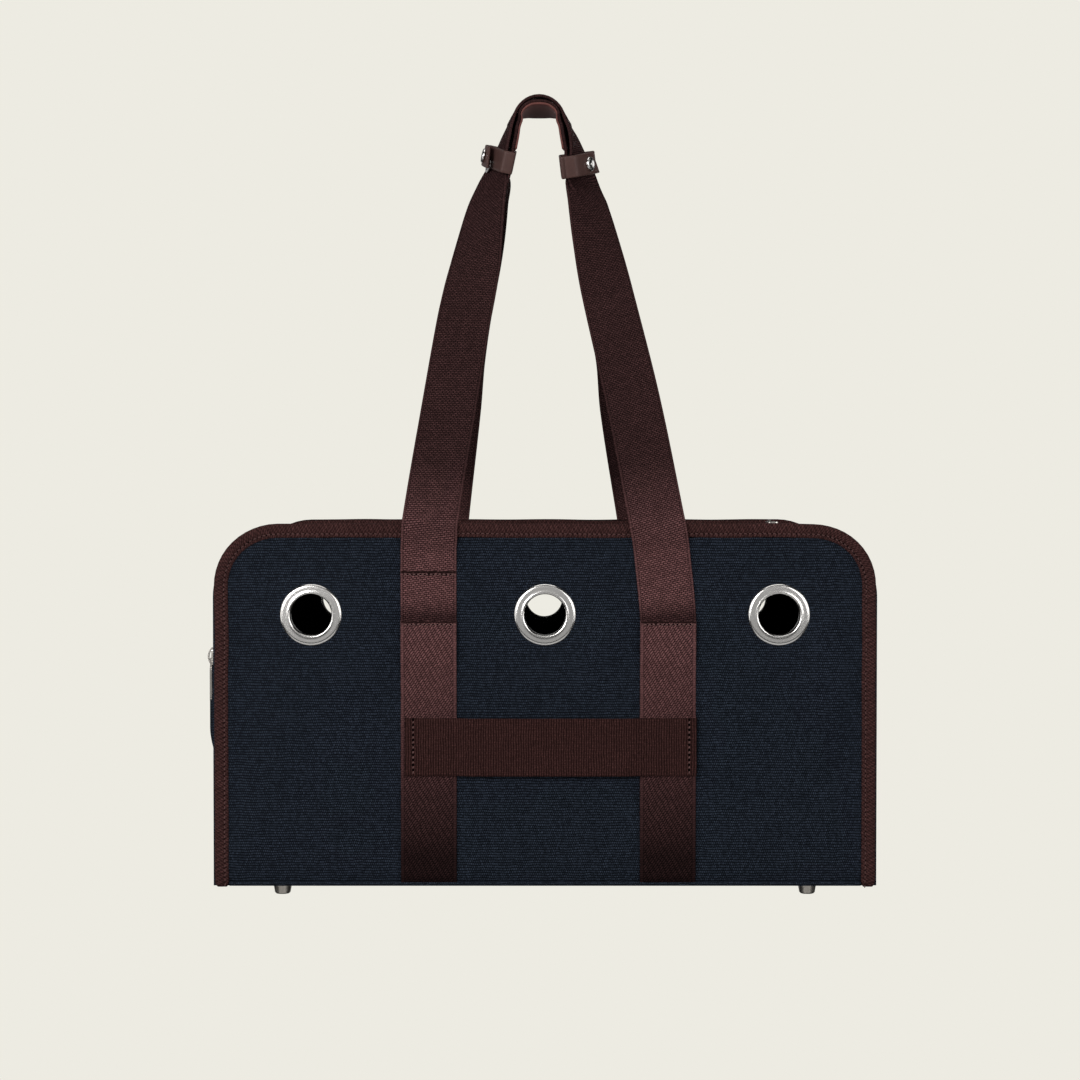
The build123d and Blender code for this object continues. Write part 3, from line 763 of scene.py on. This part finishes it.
# Piping: a corded bead along the foot of the wall.
piping_low, piping_high = box_mm("front_piping")
piping_radius = 1.6
for wall_name, side in WALLS:
    y, out = side * (face - piping_radius), Vector((0, side, 0))
    stations = [
        Station(Vector((x, y, body_bottom + 1.5)), Vector((0, 0, 1)), out, x)
        for x in spread(piping_low.x, piping_high.x, 3.0)
    ]
    sweep(
        f"{wall_name}_foot_piping", stations, oval(piping_radius, piping_radius), canvas, "canvas",
        replaces=(f"{wall_name}_piping",),
    )

# ---------------------------------------------------------------- ends


# The bulge of the end door: its depth, and where it falls away sideways, begins and ends.
bulge_depth = 11.0
bulge_side = (52.0, 80.0)
bulge_foot = (62.0, 112.0)
bulge_head = (140.0, 204.0)
right_end_share = 0.3
slack_depth = 1.3
slack_reach = 14.0


def bulge(y, z):
    """The soft bulge of an end."""
    across_share = 1.0 - smooth_step(abs(y), *bulge_side)
    up_share = smooth_step(z, *bulge_foot) * (1.0 - smooth_step(z, *bulge_head))
    return bulge_depth * across_share * up_share


def slack(y, z):
    """Small wrinkles of the ends, none at the seams."""
    edge = min(smooth_step(gap, 0.0, slack_reach) for gap in (wall_back - abs(y), z - body_bottom))
    return slack_depth * edge * noise.noise(Vector((y * 0.03, z * 0.026, 6.0)))


upright = roof_top - gusset_radius
arc_length = gusset_radius * pi / 2


def end_place(side):
    """Maps (y, height along the sheet) to the outside of an end: upright, then round the corner."""

    def place(y, s):
        out = slack(y, s)
        if s <= upright:
            swell = right_end_share * bulge(y, s) if side > 0 else 0.0
            return Vector((side * (end_x + out + swell), y, s))
        angle = (s - upright) / gusset_radius
        radius = gusset_radius + out * cos(angle)
        return Vector((side * (roof_half + radius * cos(angle)), y, upright + radius * sin(angle)))

    return place


end_row, end_cell = 3.6, 3.7
end_rows = spread(body_bottom, upright, end_row) + spread(upright, upright + arc_length, end_row)[1:]
end_columns = spread(-wall_back, wall_back, end_cell)
sheet("right_end_canvas", lambda s: end_columns, end_rows, end_place(1), replaces=("right_end_gusset",))
frame_hole = (door_half + seam_reach, door_sill - sill_drop, door_head + seam_reach, zip_radius + seam_reach)
sheet(
    "left_end_canvas",
    lambda s: end_columns[::-1],
    end_rows,
    end_place(-1),
    keep=lambda y, s: not in_tombstone(y, s, *frame_hole),
    snap=lambda y, s: on_tombstone(y, s, *frame_hole),
    replaces=("left_end_frame",),
)

door_edge = (door_half - seam_reach, door_sill, door_head - seam_reach, zip_radius - seam_reach)
sheet(
    "end_door_canvas",
    *tombstone_grid(*door_edge, end_row, end_cell / door_half, sign=-1),
    lambda y, z: Vector((-end_x - bulge(y, z), y, z)),
    body="end_door",
    replaces=("end_door",),
)

# ---------------------------------------------------------------- top


sag_depth, ripple_depth = 1.26, 0.5


def sag(x, y):
    """The lid sinks a little between its seams, and ripples."""
    sunk = smooth_step(roof_half - abs(x), 0.0, 60.0) * smooth_step(wall_back - abs(y), 0.0, 50.0)
    ripple = noise.noise(Vector((x * 0.02, y * 0.03, 1.0)))
    ripple *= smooth_step(lid_half - abs(x), 0.0, 30.0) * smooth_step(lid_front - abs(y), 0.0, 30.0)
    return ripple_depth * ripple - sag_depth * sunk


def onto_roof_hole(u, v):
    """The edge of the lid's hole is cut to its outline, and the roof's own edge stays straight."""
    on_edge = abs(u) >= roof_half - 1 or abs(v) >= wall_back - 1
    return (u, v) if on_edge else on_tombstone(u, v, *roof_hole)


roof_hole = (lid_half + seam_reach, -lid_back - sill_drop, lid_front + seam_reach, zip_radius + seam_reach)
sheet(
    "top_canvas",
    lambda v: spread(-roof_half, roof_half, 3.8),
    spread(-wall_back, wall_back, end_cell),
    lambda u, v: Vector((-u, -v, roof_top)),
    keep=lambda u, v: not in_tombstone(u, v, *roof_hole),
    snap=onto_roof_hole,
    replaces=("top_frame",),
)
lid_edge = (lid_half - seam_reach, -lid_back, lid_front - seam_reach, zip_radius - seam_reach)
lid_cell = 4.5
sheet(
    "top_lid_canvas",
    *tombstone_grid(*lid_edge, lid_cell, lid_cell / lid_half),
    lambda u, v: Vector((-u, -v, roof_top + sag(u, v))),
    body="top_lid",
    replaces=("top_lid",),
)

# Cloth that joins each leaf to the bag along its hinge: the leaf, the hinge's middle, the directions towards
# the leaf and along the hinge, and half the cloth's length.
door_hinge_z = 19.0
lid_hinge_y = 95.0
hinge_lift = 0.35
hinge_inset = 8
hinge_reach = 5.5
hinge_cloths = (
    ("end_door", (-end_x - hinge_lift, 0.0, door_hinge_z), (0, 0, 1), (0, 1, 0), door_half - hinge_inset),
    ("top_lid", (0.0, lid_hinge_y, roof_top + hinge_lift), (0, -1, 0), (-1, 0, 0), lid_half - hinge_inset),
)
for leaf, centre, towards_leaf, along, half in hinge_cloths:
    centre, towards_leaf, along = Vector(centre), Vector(towards_leaf), Vector(along)
    stations = [
        Station(centre + towards_leaf * t, along, along.cross(towards_leaf), t)
        for t in spread(-hinge_reach, hinge_reach, 0.7)
    ]
    section, across = strap_section(2 * half, 0.7, columns=40)
    piece = sweep(f"{leaf}_hinge_cloth", stations, section, canvas, "canvas", across=across, body=None)
    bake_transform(piece)

# ---------------------------------------------------------------- zips


def tape_section(inner, outer):
    """A zip tape between two distances from the zip's middle line."""
    low, high = sorted((inner, outer))
    middle = (low + high) / 2
    points, across = strap_section(high - low, tape_height, columns=4)
    return [(a + middle, b) for a, b in points], [a + middle for a in across]


teeth_pitch = 1.7
door_line = (door_half, door_sill, door_head, zip_radius)
lid_line = (lid_half, -lid_back, lid_front, zip_radius)
for zip_name, leaf_name, leaf, line, plane in (
    ("end_zip", "door", "end_door", door_line, on_left_end(-end_x - tape_height / 2)),
    ("lid_zip", "lid", "top_lid", lid_line, on_roof(roof_top + tape_height / 2)),
):
    whole_line = stations_of(outline(*line, step=4.0, turns=10), plane)
    for part, body, sign in (("frame", "shell", 1), (leaf_name, leaf, -1)):
        # The door's tape stops short at both ends, so that it clears the sill when the door drops.
        stations = whole_line[1:-1] if body == "end_door" else whole_line
        part_name = f"{zip_name}_{part}"
        section, across = tape_section(sign * coil_reach, sign * tape_reach)
        sweep(
            f"{part_name}_tape_cloth", stations, section, zip_tape, "zip_tape", across=across, body=body,
            replaces=(f"{part_name}_tape",),
        )
        teeth = seam_places(stations, sign * 1.35, 0.25, teeth_pitch)
        turned = [(centre, direction.cross(up).normalized(), up) for centre, direction, up in teeth]
        coil = beads(f"{part_name}_teeth", turned, teeth_pitch, 0.62, zip_plastic, "zip_coil", body=body)
        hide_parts(f"{part_name}_coil")
        tape_seam = seam_places(stations, sign * 7.6, 0.55, 3.2)
        beads(f"{part_name}_stitches", tape_seam, 2.2, 0.32, thread, "zip_tape", tilt=0.12, body=body)

# ---------------------------------------------------------------- webbing on the walls

strap_low, strap_high = box_mm("front_left_strap")
strap_bottom, strap_top = strap_low.z, strap_high.z
step_out = -strap_low.y - face - strap_thickness
step_start, step_end = 152.0, 172.0
handle_seam = 222.5
strap_ripple = 0.35
strap_points, strap_across = strap_section(strap_width, strap_thickness)


def rounded(section, station, ends, nose):
    """The section thinned towards a strap's ends, so that they are folded round."""
    gap = min(abs(station.run - ends[0]), abs(station.run - ends[1]))
    if gap >= nose:
        return section
    share = max(0.25, sqrt(1.0 - ((nose - gap) / nose) ** 2))
    return [(a, b * share) for a, b in section]


def wall_strap(name, side, centre, replaced):
    """The lower strap, flat on the wall, stepping out over the tucked end of the handle."""
    fine_start, fold_start = step_start - 2.0, strap_top - 1.5
    heights = spread(strap_bottom, fine_start, 6.0) + spread(fine_start, fold_start, 2.0)[1:]
    heights += spread(fold_start, strap_top, 0.5)[1:]
    stations = []
    for z in heights:
        rise = step_out * smooth_step(z, step_start, step_end)
        ripple = strap_ripple * noise.noise(Vector((z * 0.03, centre, 2.0)))
        y = face + strap_thickness / 2 + rise - tuck(z) + ripple
        stations.append(Station(Vector((centre, side * y, z)), Vector((1, 0, 0)), Vector((0, side, 0)), z))
    sweep(
        name, stations, lambda station: rounded(strap_points, station, (strap_top, -100.0), 1.2), webbing,
        "webbing", across=strap_across, replaces=(replaced,),
    )


def stitch_row(name, centre, y, z, side):
    """A row of stitches across a strap, with dark beads between them as the painted shade of the needle's
    holes, and a dark cord over it as the painted shadow of a crease.
    """
    half, pitch, out = 17.0, 2.9, Vector((0, side, 0))
    line = [
        Station(Vector((x, side * (y + 0.1), z + 1.6 + 0.15 * sin(x * 0.9))), Vector((0, 0, 1)), out, x)
        for x in spread(centre - half - 1.5, centre + half + 1.5, 1.5)
    ]
    # Painted shadow: a dark cord just above the stitches stands in for the shade of the crease they pull into
    # the strap.
    sweep(f"{name}_crease_shadow", line, oval(0.65, 0.3), seam_shade, "webbing")
    line = [Vector((x, side * y, z)) for x in (centre - half, centre + half)]
    beads(name, resample(line, [out], pitch), 1.9, 0.6, thread, tilt=0.15)
    # Dark beads between the stitches paint the needle holes' shade.
    line = [Vector((x + pitch / 2, side * (y + 0.05), z)) for x in (centre - half, centre + half - 2)]
    beads(f"{name}_holes", resample(line, [out], pitch), 1.3, 0.5, needle_hole_shade)


strap_seat = face + step_out + strap_thickness
handle_seat = face + strap_thickness + 0.15
for side_name, centre in strap_centres.items():
    for wall_name, side in WALLS:
        wall_strap(f"{wall_name}_{side_name}_webbing", side, centre, f"{wall_name}_{side_name}_strap")
    for wall_name, side in WALLS:
        stitch_row(f"{wall_name}_{side_name}_upper_stitches", centre, strap_seat, strap_top - 2.4, side)
    stitch_row(f"rear_{side_name}_handle_stitches", centre, handle_seat, handle_seam, 1)
stitch_row("front_left_handle_stitches", strap_centres["left"], handle_seat, handle_seam, -1)

# Cross band: folded under and sewn down at both ends.
band_low, band_high = box_mm("cross_band")
band_middle = (band_low.z + band_high.z) / 2
band_height = band_high.z - band_low.z
band_bow = -band_low.y - face - 2 * strap_thickness - 0.2
band_points, band_across = strap_section(band_height, strap_thickness, columns=16)
band_places = spread(band_low.x, band_low.x + 3, 0.5) + spread(band_low.x + 3, band_high.x - 3, 4.0)[1:]
band_places += spread(band_high.x - 3, band_high.x, 0.5)[1:]


def band_y(x):
    """The cross band's depth: sewn to the straps at its ends, and standing off between them."""
    inner_left = strap_centres["left"] + strap_width / 2
    inner_right = strap_centres["right"] - strap_width / 2
    bow = smooth_step(x, inner_left - 4, inner_left + 12)
    bow *= 1.0 - smooth_step(x, inner_right - 12, inner_right + 4)
    return face + 1.5 * strap_thickness + 0.2 + band_bow * 0.85 * bow


band_stations = [
    Station(Vector((x, -band_y(x), band_middle)), Vector((0, 0, 1)), Vector((0, -1, 0)), x)
    for x in band_places
]


def band_section(station):
    """The band's width with a slight hollow between its selvedges, and folded ends."""
    shaped = [(a, b + (0.25 if b > 0 else 0.0) * smooth_step(abs(a), 12.0, 18.0)) for a, b in band_points]
    return rounded(shaped, station, (band_low.x, band_high.x), 1.4)


sweep(
    "cross_band_webbing", band_stations, band_section, ribbed_webbing, "webbing", across=band_across,
    replaces=("cross_band",),
)
for end_name, x in (("left", band_low.x + 5.6), ("right", band_high.x - 5.2)):
    y = -band_y(x) - strap_thickness / 2 - 0.1
    pitch, out = 3.4, [Vector((0, -1, 0))]
    column = [Vector((x, y, z)) for z in (band_low.z + 1.0, band_high.z - 1.0)]
    beads(f"cross_band_{end_name}_stitches", resample(column, out, pitch), 2.0, 0.5, thread, tilt=0.25)
    # Dark beads between the stitches paint the needle holes' shade.
    column = [point + Vector((0, 0, pitch / 2)) for point in column]
    beads(f"cross_band_{end_name}_holes", resample(column, out, pitch), 2.0, 0.85, needle_hole_shade)

# ---------------------------------------------------------------- handles

# Stations along a handle: x, y, z of its middle and the turn of its width about the vertical.
flat_y = -face - 0.1 - strap_thickness / 2
rim_y = -face - 3.1
arch_x = -4.0
front_left_leg = [
    (-79, flat_y, 172, 0), (-79, flat_y, 240, 0), (-78.5, rim_y, 246.5, 0), (-78, rim_y, 258, 0),
    (-65.8, -78.8, 342, 0), (-57.3, -52.5, 398, -1), (-52.9, -41, 422, -6), (-49.5, -32.5, 440, -16),
    (-47, -24.5, 458, -30), (-42.5, -10.5, 487, -46), (-38.4, -2, 504, -57), (-34.8, 0, 515, -67),
    (-31.5, 0, 526, -75), (-27.7, 0, 538, -80),
]
front_right_leg = [
    (83.5, flat_y, 172, -180), (83.5, flat_y, 194, -180), (79, flat_y, 240, -180), (78, rim_y, 246.5, -180),
    (76, rim_y, 258, -180), (61, -78.8, 342, -180), (43.8, -41, 422, -170), (36.8, -24.5, 458, -154),
    (31.6, -10.9, 487, -139), (28.3, 0, 504, -127), (25.8, 0, 515, -116), (24.0, 0, 526, -107),
    (20.6, 0, 538, -100),
]
arch_z = 542.3
arch_radius = 21.2
front_arch = [
    (arch_x - arch_radius * cos(a), 0, arch_z + arch_radius * sin(a), 7 * cos(a) - 90)
    for a in map(radians, (10, 36, 63, 90, 117, 144, 170))
]
rear_left_leg = [
    (-79, -flat_y, 172, 0), (-79, -flat_y, 240, 0), (-78.5, -rim_y, 246.5, 0), (-78, -rim_y, 258, 0),
    (-67.5, 78.8, 342, 0), (-63.5, 61, 381, 4), (-56, 43, 422, 15), (-44, 26, 458, 50), (-34, 10, 487, 78),
    (-27.4, 0, 504, 93), (-25.6, 0, 515, 96), (-25.0, 0, 526, 98), (-23.9, 0, 535, 100), (-23.2, 0, 544, 103),
]
rear_right_leg = [
    (83.5, -flat_y, 172, 180), (83.5, -flat_y, 194, 180), (79, -flat_y, 240, 180), (78, -rim_y, 246.5, 180),
    (76, -rim_y, 258, 180), (61.5, 78.8, 342, 180), (57.5, 61, 381, 176), (47.5, 43, 422, 165),
    (37, 26, 458, 130), (27, 10, 487, 101), (18, 0, 504, 88), (17.2, 0, 515, 84), (17.4, 0, 526, 82),
    (16.4, 0, 535, 80), (15.6, 0, 544, 77),
]
rear_arch = [
    (-20.0, 0, 552.2, 107), (-12.8, 0, 556.6, 101), (arch_x, 0, 557.6, 90), (4.8, 0, 556.6, 79),
    (12.0, 0, 552.2, 73),
]


def ribbon_stations(route, step):
    """Evenly spaced stations on a smooth line through a handle's stations."""
    points = [Vector(place[:3]) for place in route]
    turns = [place[3] for place in route]
    reach = [0.0]
    for a, b in zip(points, points[1:]):
        reach.append(reach[-1] + (b - a).length)

    def slope(values, i):
        low, high = max(i - 1, 0), min(i + 1, len(values) - 1)
        return (values[high] - values[low]) / (reach[high] - reach[low])

    def between(values, i, t):
        """The smooth value a share t of the way from values[i] to the next."""
        span = reach[i + 1] - reach[i]
        h0, h1 = 2 * t**3 - 3 * t**2 + 1, t**3 - 2 * t**2 + t
        h2, h3 = 3 * t**2 - 2 * t**3, t**3 - t**2
        first = values[i] * h0 + slope(values, i) * (h1 * span)
        return first + values[i + 1] * h2 + slope(values, i + 1) * (h3 * span)

    places = []
    for i in range(len(points) - 1):
        count = max(2, round((reach[i + 1] - reach[i]) / step))
        places += [(between(points, i, k / count), between(turns, i, k / count)) for k in range(count)]
    places.append((points[-1], turns[-1]))
    stations, run = [], 0.0
    for i, (point, turn) in enumerate(places):
        if i:
            run += (point - places[i - 1][0]).length
        along = (places[min(i + 1, len(places) - 1)][0] - places[max(i - 1, 0)][0]).normalized()
        across = Vector((cos(radians(turn)), sin(radians(turn)), 0))
        across = (across - along * across.dot(along)).normalized()
        outward = across.cross(along)
        tip = radians(7.0) * smooth_step(point.z, 546.0, 555.0) if turn > 0 else 0.0
        across, outward = across * cos(tip) + outward * sin(tip), outward * cos(tip) - across * sin(tip)
        stations.append(Station(point, across, outward, run))
    return stations


def handle_section(station):
    """The strap, cupped a little across its width between the wall and the keepers."""
    z = station.point.z
    cup = 0.5 * smooth_step(z, 260.0, 320.0) * (1.0 - smooth_step(z, 430.0, 490.0))
    return [(a, b + cup * (a / 19.0) ** 2) for a, b in strap_points]


front_route = front_left_leg + front_arch + front_right_leg[::-1]
rear_route = rear_left_leg + rear_arch + rear_right_leg[::-1]
for handle_name, route in (("front", front_route), ("rear", rear_route)):
    stations = ribbon_stations(route, 3.0)
    # Painted shade: each handle is darker along its middle than near its ends, the rear one darker still, and
    # a painted shadow darkens it where it comes out from under the wall strap's top edge.
    painted_shade = (130.0, 60.0, 0.35 if handle_name == "front" else 0.28, stations[-1].run)
    painted_fold_shadow = (22.0, 33.0, 0.38)
    handle_webbing = woven(f"{handle_name}_handle_weave", BROWN, painted_shade=painted_shade, painted_fold_shadow=painted_fold_shadow, **long_weave)
    sweep(
        f"{handle_name}_handle_webbing", stations, handle_section, handle_webbing, "webbing",
        across=strap_across, replaces=(f"{handle_name}_handle",),
    )

leather_thickness = 1.6
lining_route = rear_left_leg[-3:] + rear_arch + rear_right_leg[:-4:-1]
lining_section, lining_across = strap_section(strap_width - 1.0, leather_thickness)
lining_shift = (strap_thickness + leather_thickness) / 2 + 0.05
lining_stations = ribbon_stations(lining_route, 1.5)
for station in lining_stations:
    station.point = station.point + station.up * lining_shift
sweep(
    "inner_arch_leather", lining_stations, lining_section, arch_leather_painted_light, "leather",
    across=[a * 0.4 for a in lining_across], replaces=("handle_lining",),
)

# ---------------------------------------------------------------- keepers

keeper_height = 16.0
flap_height = 15.5
keeper_tip = radians(10.5)
keeper_gap = 0.5
bend_steps = 8
cap_lift = 0.9
cap_profile = [
    (0.0, 0.7), (1.6, 0.75), (2.6, 0.9), (3.3, 1.3), (4.0, 1.55), (4.7, 1.35), (5.15, 0.8), (5.25, 0.1),
    (5.0, -0.3), (0.0, -0.4),
]
flap_offset = 3.1
strap_half = 21.2
keeper_front_outer = 5.6


def rounded_loop(corners, radius, step=1.5):
    """Places and outward directions round a convex anticlockwise polygon, grown outwards by radius."""
    places = []
    count = len(corners)
    edges = [(corners[(i + 1) % count] - corners[i]).normalized() for i in range(count)]
    normals = [Vector((edge.y, -edge.x)) for edge in edges]
    for i in range(count):
        start, end = corners[i], corners[(i + 1) % count]
        for t in spread(0.0, 1.0, step / (end - start).length):
            places.append((start.lerp(end, t) + normals[i] * radius, normals[i]))
        for k in range(1, 6):
            turned = normals[i].slerp(normals[(i + 1) % count], k / 6)
            places.append((end + turned * radius, turned))
    return places


def keeper_frame(tilt, centre_x, centre_z):
    """A keeper's centre and axes, leaning sideways and lifted at the back."""
    axis_x = Vector((cos(tilt), 0, -sin(tilt)))
    axis_y = Vector((0, cos(keeper_tip), sin(keeper_tip)))
    return Vector((centre_x, 0, centre_z)), axis_x, axis_y, axis_x.cross(axis_y)


def on_keeper(axes, place, start=Vector()):
    """A direction across a keeper turned to the bag's axes, or a place when start is the keeper's centre."""
    return start + axes[1] * place.x + axes[2] * place.y


def keeper_stations(places, axes, slant=0.0):
    """Stations for a strip of leather round the straps, its tip cut on a slant."""
    stations, run = [], 0.0
    for i, (place, normal) in enumerate(places):
        if i:
            run += (place - places[i - 1][0]).length
        lean = slant * (1.0 - smooth_step(run, 0.0, 14.0))
        point = on_keeper(axes, place, axes[0])
        stations.append(Station(point, axes[3], on_keeper(axes, normal), run, lean))
    return stations


for side_name, sign, centre_x, centre_z, lean, keeper_outer, keeper_inner, tail, cap_reach, slope in (
    ("left", -1, -34.4, 520.5, 12.5, 6.4, 10.5, 26.0, 14.0, (0.12, -0.993)),
    ("right", 1, 25.6, 516.5, -7.0, 10.0, 12.4, 27.5, 15.5, (0.52, 0.854)),
):
    axes = keeper_frame(radians(lean), centre_x, centre_z)
    front_outer = Vector((-sign * keeper_front_outer, -strap_half))
    back_outer = Vector((sign * keeper_outer, strap_half))
    front_inner = Vector((-sign * keeper_inner, -strap_half))
    back_inner = Vector((-sign * keeper_inner, strap_half))
    corners = [front_outer, back_outer, back_inner, front_inner]
    loop = rounded_loop(corners if sign > 0 else corners[::-1], keeper_gap + leather_thickness / 2)
    loop_section, loop_across = strap_section(keeper_height, leather_thickness, columns=10)
    sweep(
        f"{side_name}_keeper_leather", keeper_stations(loop, axes), loop_section, leather_brown, "leather",
        across=loop_across, closed=True, replaces=(f"{side_name}_keeper_band",),
    )

    root = front_outer if sign > 0 else back_outer
    root_normal = Vector((0, -sign))
    slope = Vector(slope)
    outward = Vector((slope.y, -slope.x))
    flap_section, flap_across = strap_section(flap_height, leather_thickness, columns=10)
    rise = flap_offset + leather_thickness / 2
    flat_rise = keeper_gap + leather_thickness * 1.5 + 0.1
    path = []
    for along in spread(tail, 2.0, 1.2):
        share = along / tail
        curl = 1.0 * sin(pi * share) - 0.8 * share
        bend = radians(7.0) * cos(pi * share)
        path.append((root + slope * along + outward * (rise + curl), (outward - slope * bend).normalized()))
    for k in range(1, bend_steps + 1):
        turned = outward.slerp(root_normal, k / bend_steps)
        path.append((root + turned * (rise + (flat_rise - rise) * k / bend_steps), turned))
    for back in (1.0, 2.5, 4.0, 5.5):
        path.append((root + Vector((-sign * back, 0)) + root_normal * flat_rise, root_normal))
    flap = sweep(
        f"{side_name}_flap_leather", keeper_stations(path, axes, slant=-0.6), flap_section, leather_brown,
        "leather", across=flap_across, body=None, replaces=(f"{side_name}_keeper_flap",),
    )
    hinge = on_keeper(axes, root, axes[0])
    towards_tip = on_keeper(axes, slope)
    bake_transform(flap)
    seat = root + slope * cap_reach + outward * (rise + leather_thickness / 2 + cap_lift)
    lathe(
        f"{side_name}_dished_cap", [on_keeper(axes, seat, axes[0])], on_keeper(axes, outward), cap_profile,
        body=f"{side_name}_flap", replaces=(f"{side_name}_snap_cap",),
    )

# ---------------------------------------------------------------- floor of the bag

mat_low, mat_high = box_mm("floor_mat")
mat_corner = 20.0
mat_thickness = mat_high.z - mat_low.z


def mat_place(u, v, level):
    """A place on the mat's crowned top (level 1), sewn in two channels, or on its underside (level -1)."""
    middle, half = (mat_low + mat_high) / 2, (mat_high - mat_low) / 2
    x, y = u * half.x, v * half.y
    over_x, over_y = max(0.0, abs(x) - half.x + mat_corner), max(0.0, abs(y) - half.y + mat_corner)
    if over_x and over_y and hypot(over_x, over_y) > mat_corner:
        fit = mat_corner / hypot(over_x, over_y)
        x = (half.x - mat_corner + over_x * fit) * (1 if x > 0 else -1)
        y = (half.y - mat_corner + over_y * fit) * (1 if y > 0 else -1)
    lift = smooth_step(min(half.x - abs(x), half.y - abs(y)), -6.0, 16.0)
    if level > 0:
        lift *= 0.72 + 0.28 * sqrt(min(abs(abs(x) - half.x / 3), 12.0) / 12.0)
    return Vector((middle.x + x, middle.y + y, mat_low.z + mat_thickness * 0.5 * (1.0 + level * lift)))


def cushion(name, columns, rows, place, material, slot, replaces):
    """A closed cushion from its top and its underside over one grid."""
    points = [place(u, v, level) for level in (1, -1) for v in rows for u in columns]
    width, height = len(columns), len(rows)
    size = width * height
    faces = []
    for layer in (0, 1):
        for j in range(height - 1):
            for i in range(width - 1):
                a = layer * size + j * width + i
                quad = (a, a + 1, a + 1 + width, a + width)
                faces.append(quad if layer == 0 else quad[::-1])
    border = list(range(width))
    border += [j * width + width - 1 for j in range(1, height)]
    border += [(height - 1) * width + i for i in range(width - 2, -1, -1)]
    border += [j * width for j in range(height - 2, 0, -1)]
    for a, b in zip(border, border[1:] + border[:1]):
        faces.append((b, a, a + size, b + size))
    uvs = [tuple((points[k].x, points[k].y) for k in corners) for corners in faces]
    return add_piece(name, points, faces, uvs, [material], slot, replaces=replaces)


mat = cushion(
    "padded_floor_mat", spread(-1.0, 1.0, 0.03), spread(-1.0, 1.0, 0.06), mat_place, mat_cloth, "mat",
    ("floor_mat",),
)

# ---------------------------------------------------------------- finishes of the carried-over CAD nodes

finishes = {
    polished: ("front_eyelet_washers", "rear_eyelet_washers", "left_snap_stud", "right_snap_stud",
               "left_snap_socket", "right_snap_socket"),
    satin: ("end_zip_slider", "end_zip_puller", "lid_zip_slider", "lid_zip_puller", "foot_rivets"),
    foot_metal: ("feet",),
    board_black: ("base_panel", "base_board"),
}
for material, names in finishes.items():
    for name in names:
        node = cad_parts[name]
        node.data.materials.clear()
        node.data.materials.append(material)

# ---------------------------------------------------------------- floor, light and camera

BACKDROP = (0.847, 0.831, 0.761)


def stage_material():
    """Pale paper that shines by itself, so that the sweep of floor and sky is one even tone."""
    sockets = {
        "Roughness": 1.0, "Specular IOR Level": 0.0, "Base Color": (0.0, 0.0, 0.0, 1),
        "Emission Color": (*BACKDROP, 1), "Emission Strength": 1.0,
    }
    return start_material("pale_floor", **sockets)[0]


floor_mesh = bpy.data.meshes.new("floor")
floor_shape = bmesh.new()
bmesh.ops.create_grid(floor_shape, x_segments=2, y_segments=2, size=20.0)
floor_shape.to_mesh(floor_mesh)
floor_mesh.materials.append(stage_material())
floor_object = bpy.data.objects.new("studio_floor", floor_mesh)
bpy.context.scene.collection.objects.link(floor_object)
for ray in ("diffuse", "glossy", "shadow"):
    setattr(floor_object, f"visible_{ray}", False)

world = bpy.data.worlds.new("studio")
bpy.context.scene.world = world
world.use_nodes = True
background = world.node_tree.nodes["Background"]
background.inputs["Color"].default_value = (*BACKDROP, 1)
background.inputs["Strength"].default_value = 1.0
world.cycles_visibility.diffuse = False
world.cycles_visibility.glossy = False


def softbox(name, place, target, size, power, glossy=True):
    """A large soft light aimed at target, in metres, which shows in shiny surfaces or not."""
    light = bpy.data.lights.new(name, "AREA")
    light.shape = "RECTANGLE"
    light.size, light.size_y = size
    light.energy = power
    lamp = bpy.data.objects.new(name, light)
    lamp.location = place
    lamp.rotation_euler = (Vector(target) - Vector(place)).to_track_quat("-Z", "Y").to_euler()
    lamp.visible_glossy = glossy
    bpy.context.scene.collection.objects.link(lamp)


softbox("key", (-1.1, -2.0, 0.9), (0, 0, 0.32), (1.2, 1.0), 34)
softbox("fill", (1.4, -1.9, 0.7), (0, 0, 0.32), (1.4, 1.0), 16)
softbox("front_card", (0.0, -3.2, 1.0), (0, 0, 0.3), (5.0, 3.4), 16)
softbox("floor_bounce", (0.0, -1.2, -1.6), (0, 0, 0.2), (4.0, 2.4), 15)
softbox("top", (0.0, -0.2, 2.3), (0, 0, 0.2), (1.6, 1.6), 12)
softbox("back", (0.4, 2.6, 1.0), (0, 0, 0.3), (3.0, 2.0), 90, glossy=False)
softbox("back_card", (0.0, 3.4, 0.4), (0, 0, 0.3), (6.0, 5.0), 26)
softbox("left_side", (-2.2, -0.7, 0.6), (0, 0, 0.25), (2.2, 2.0), 16)
softbox("right_side", (2.2, -0.7, 0.6), (0, 0, 0.25), (2.2, 2.0), 14)

EYE = (-0.0034, -1.615, 0.279)
LENS = 73.7
PITCH_DOWN = 1.27
camera_data = bpy.data.cameras.new("camera")
camera_data.sensor_width = 36.0
camera_data.lens = LENS
camera = bpy.data.objects.new("camera", camera_data)
camera.location = EYE
camera.rotation_euler = (radians(90 - PITCH_DOWN), 0, 0)
bpy.context.scene.collection.objects.link(camera)
bpy.context.scene.camera = camera
bpy.context.scene.view_settings.view_transform = "Standard"
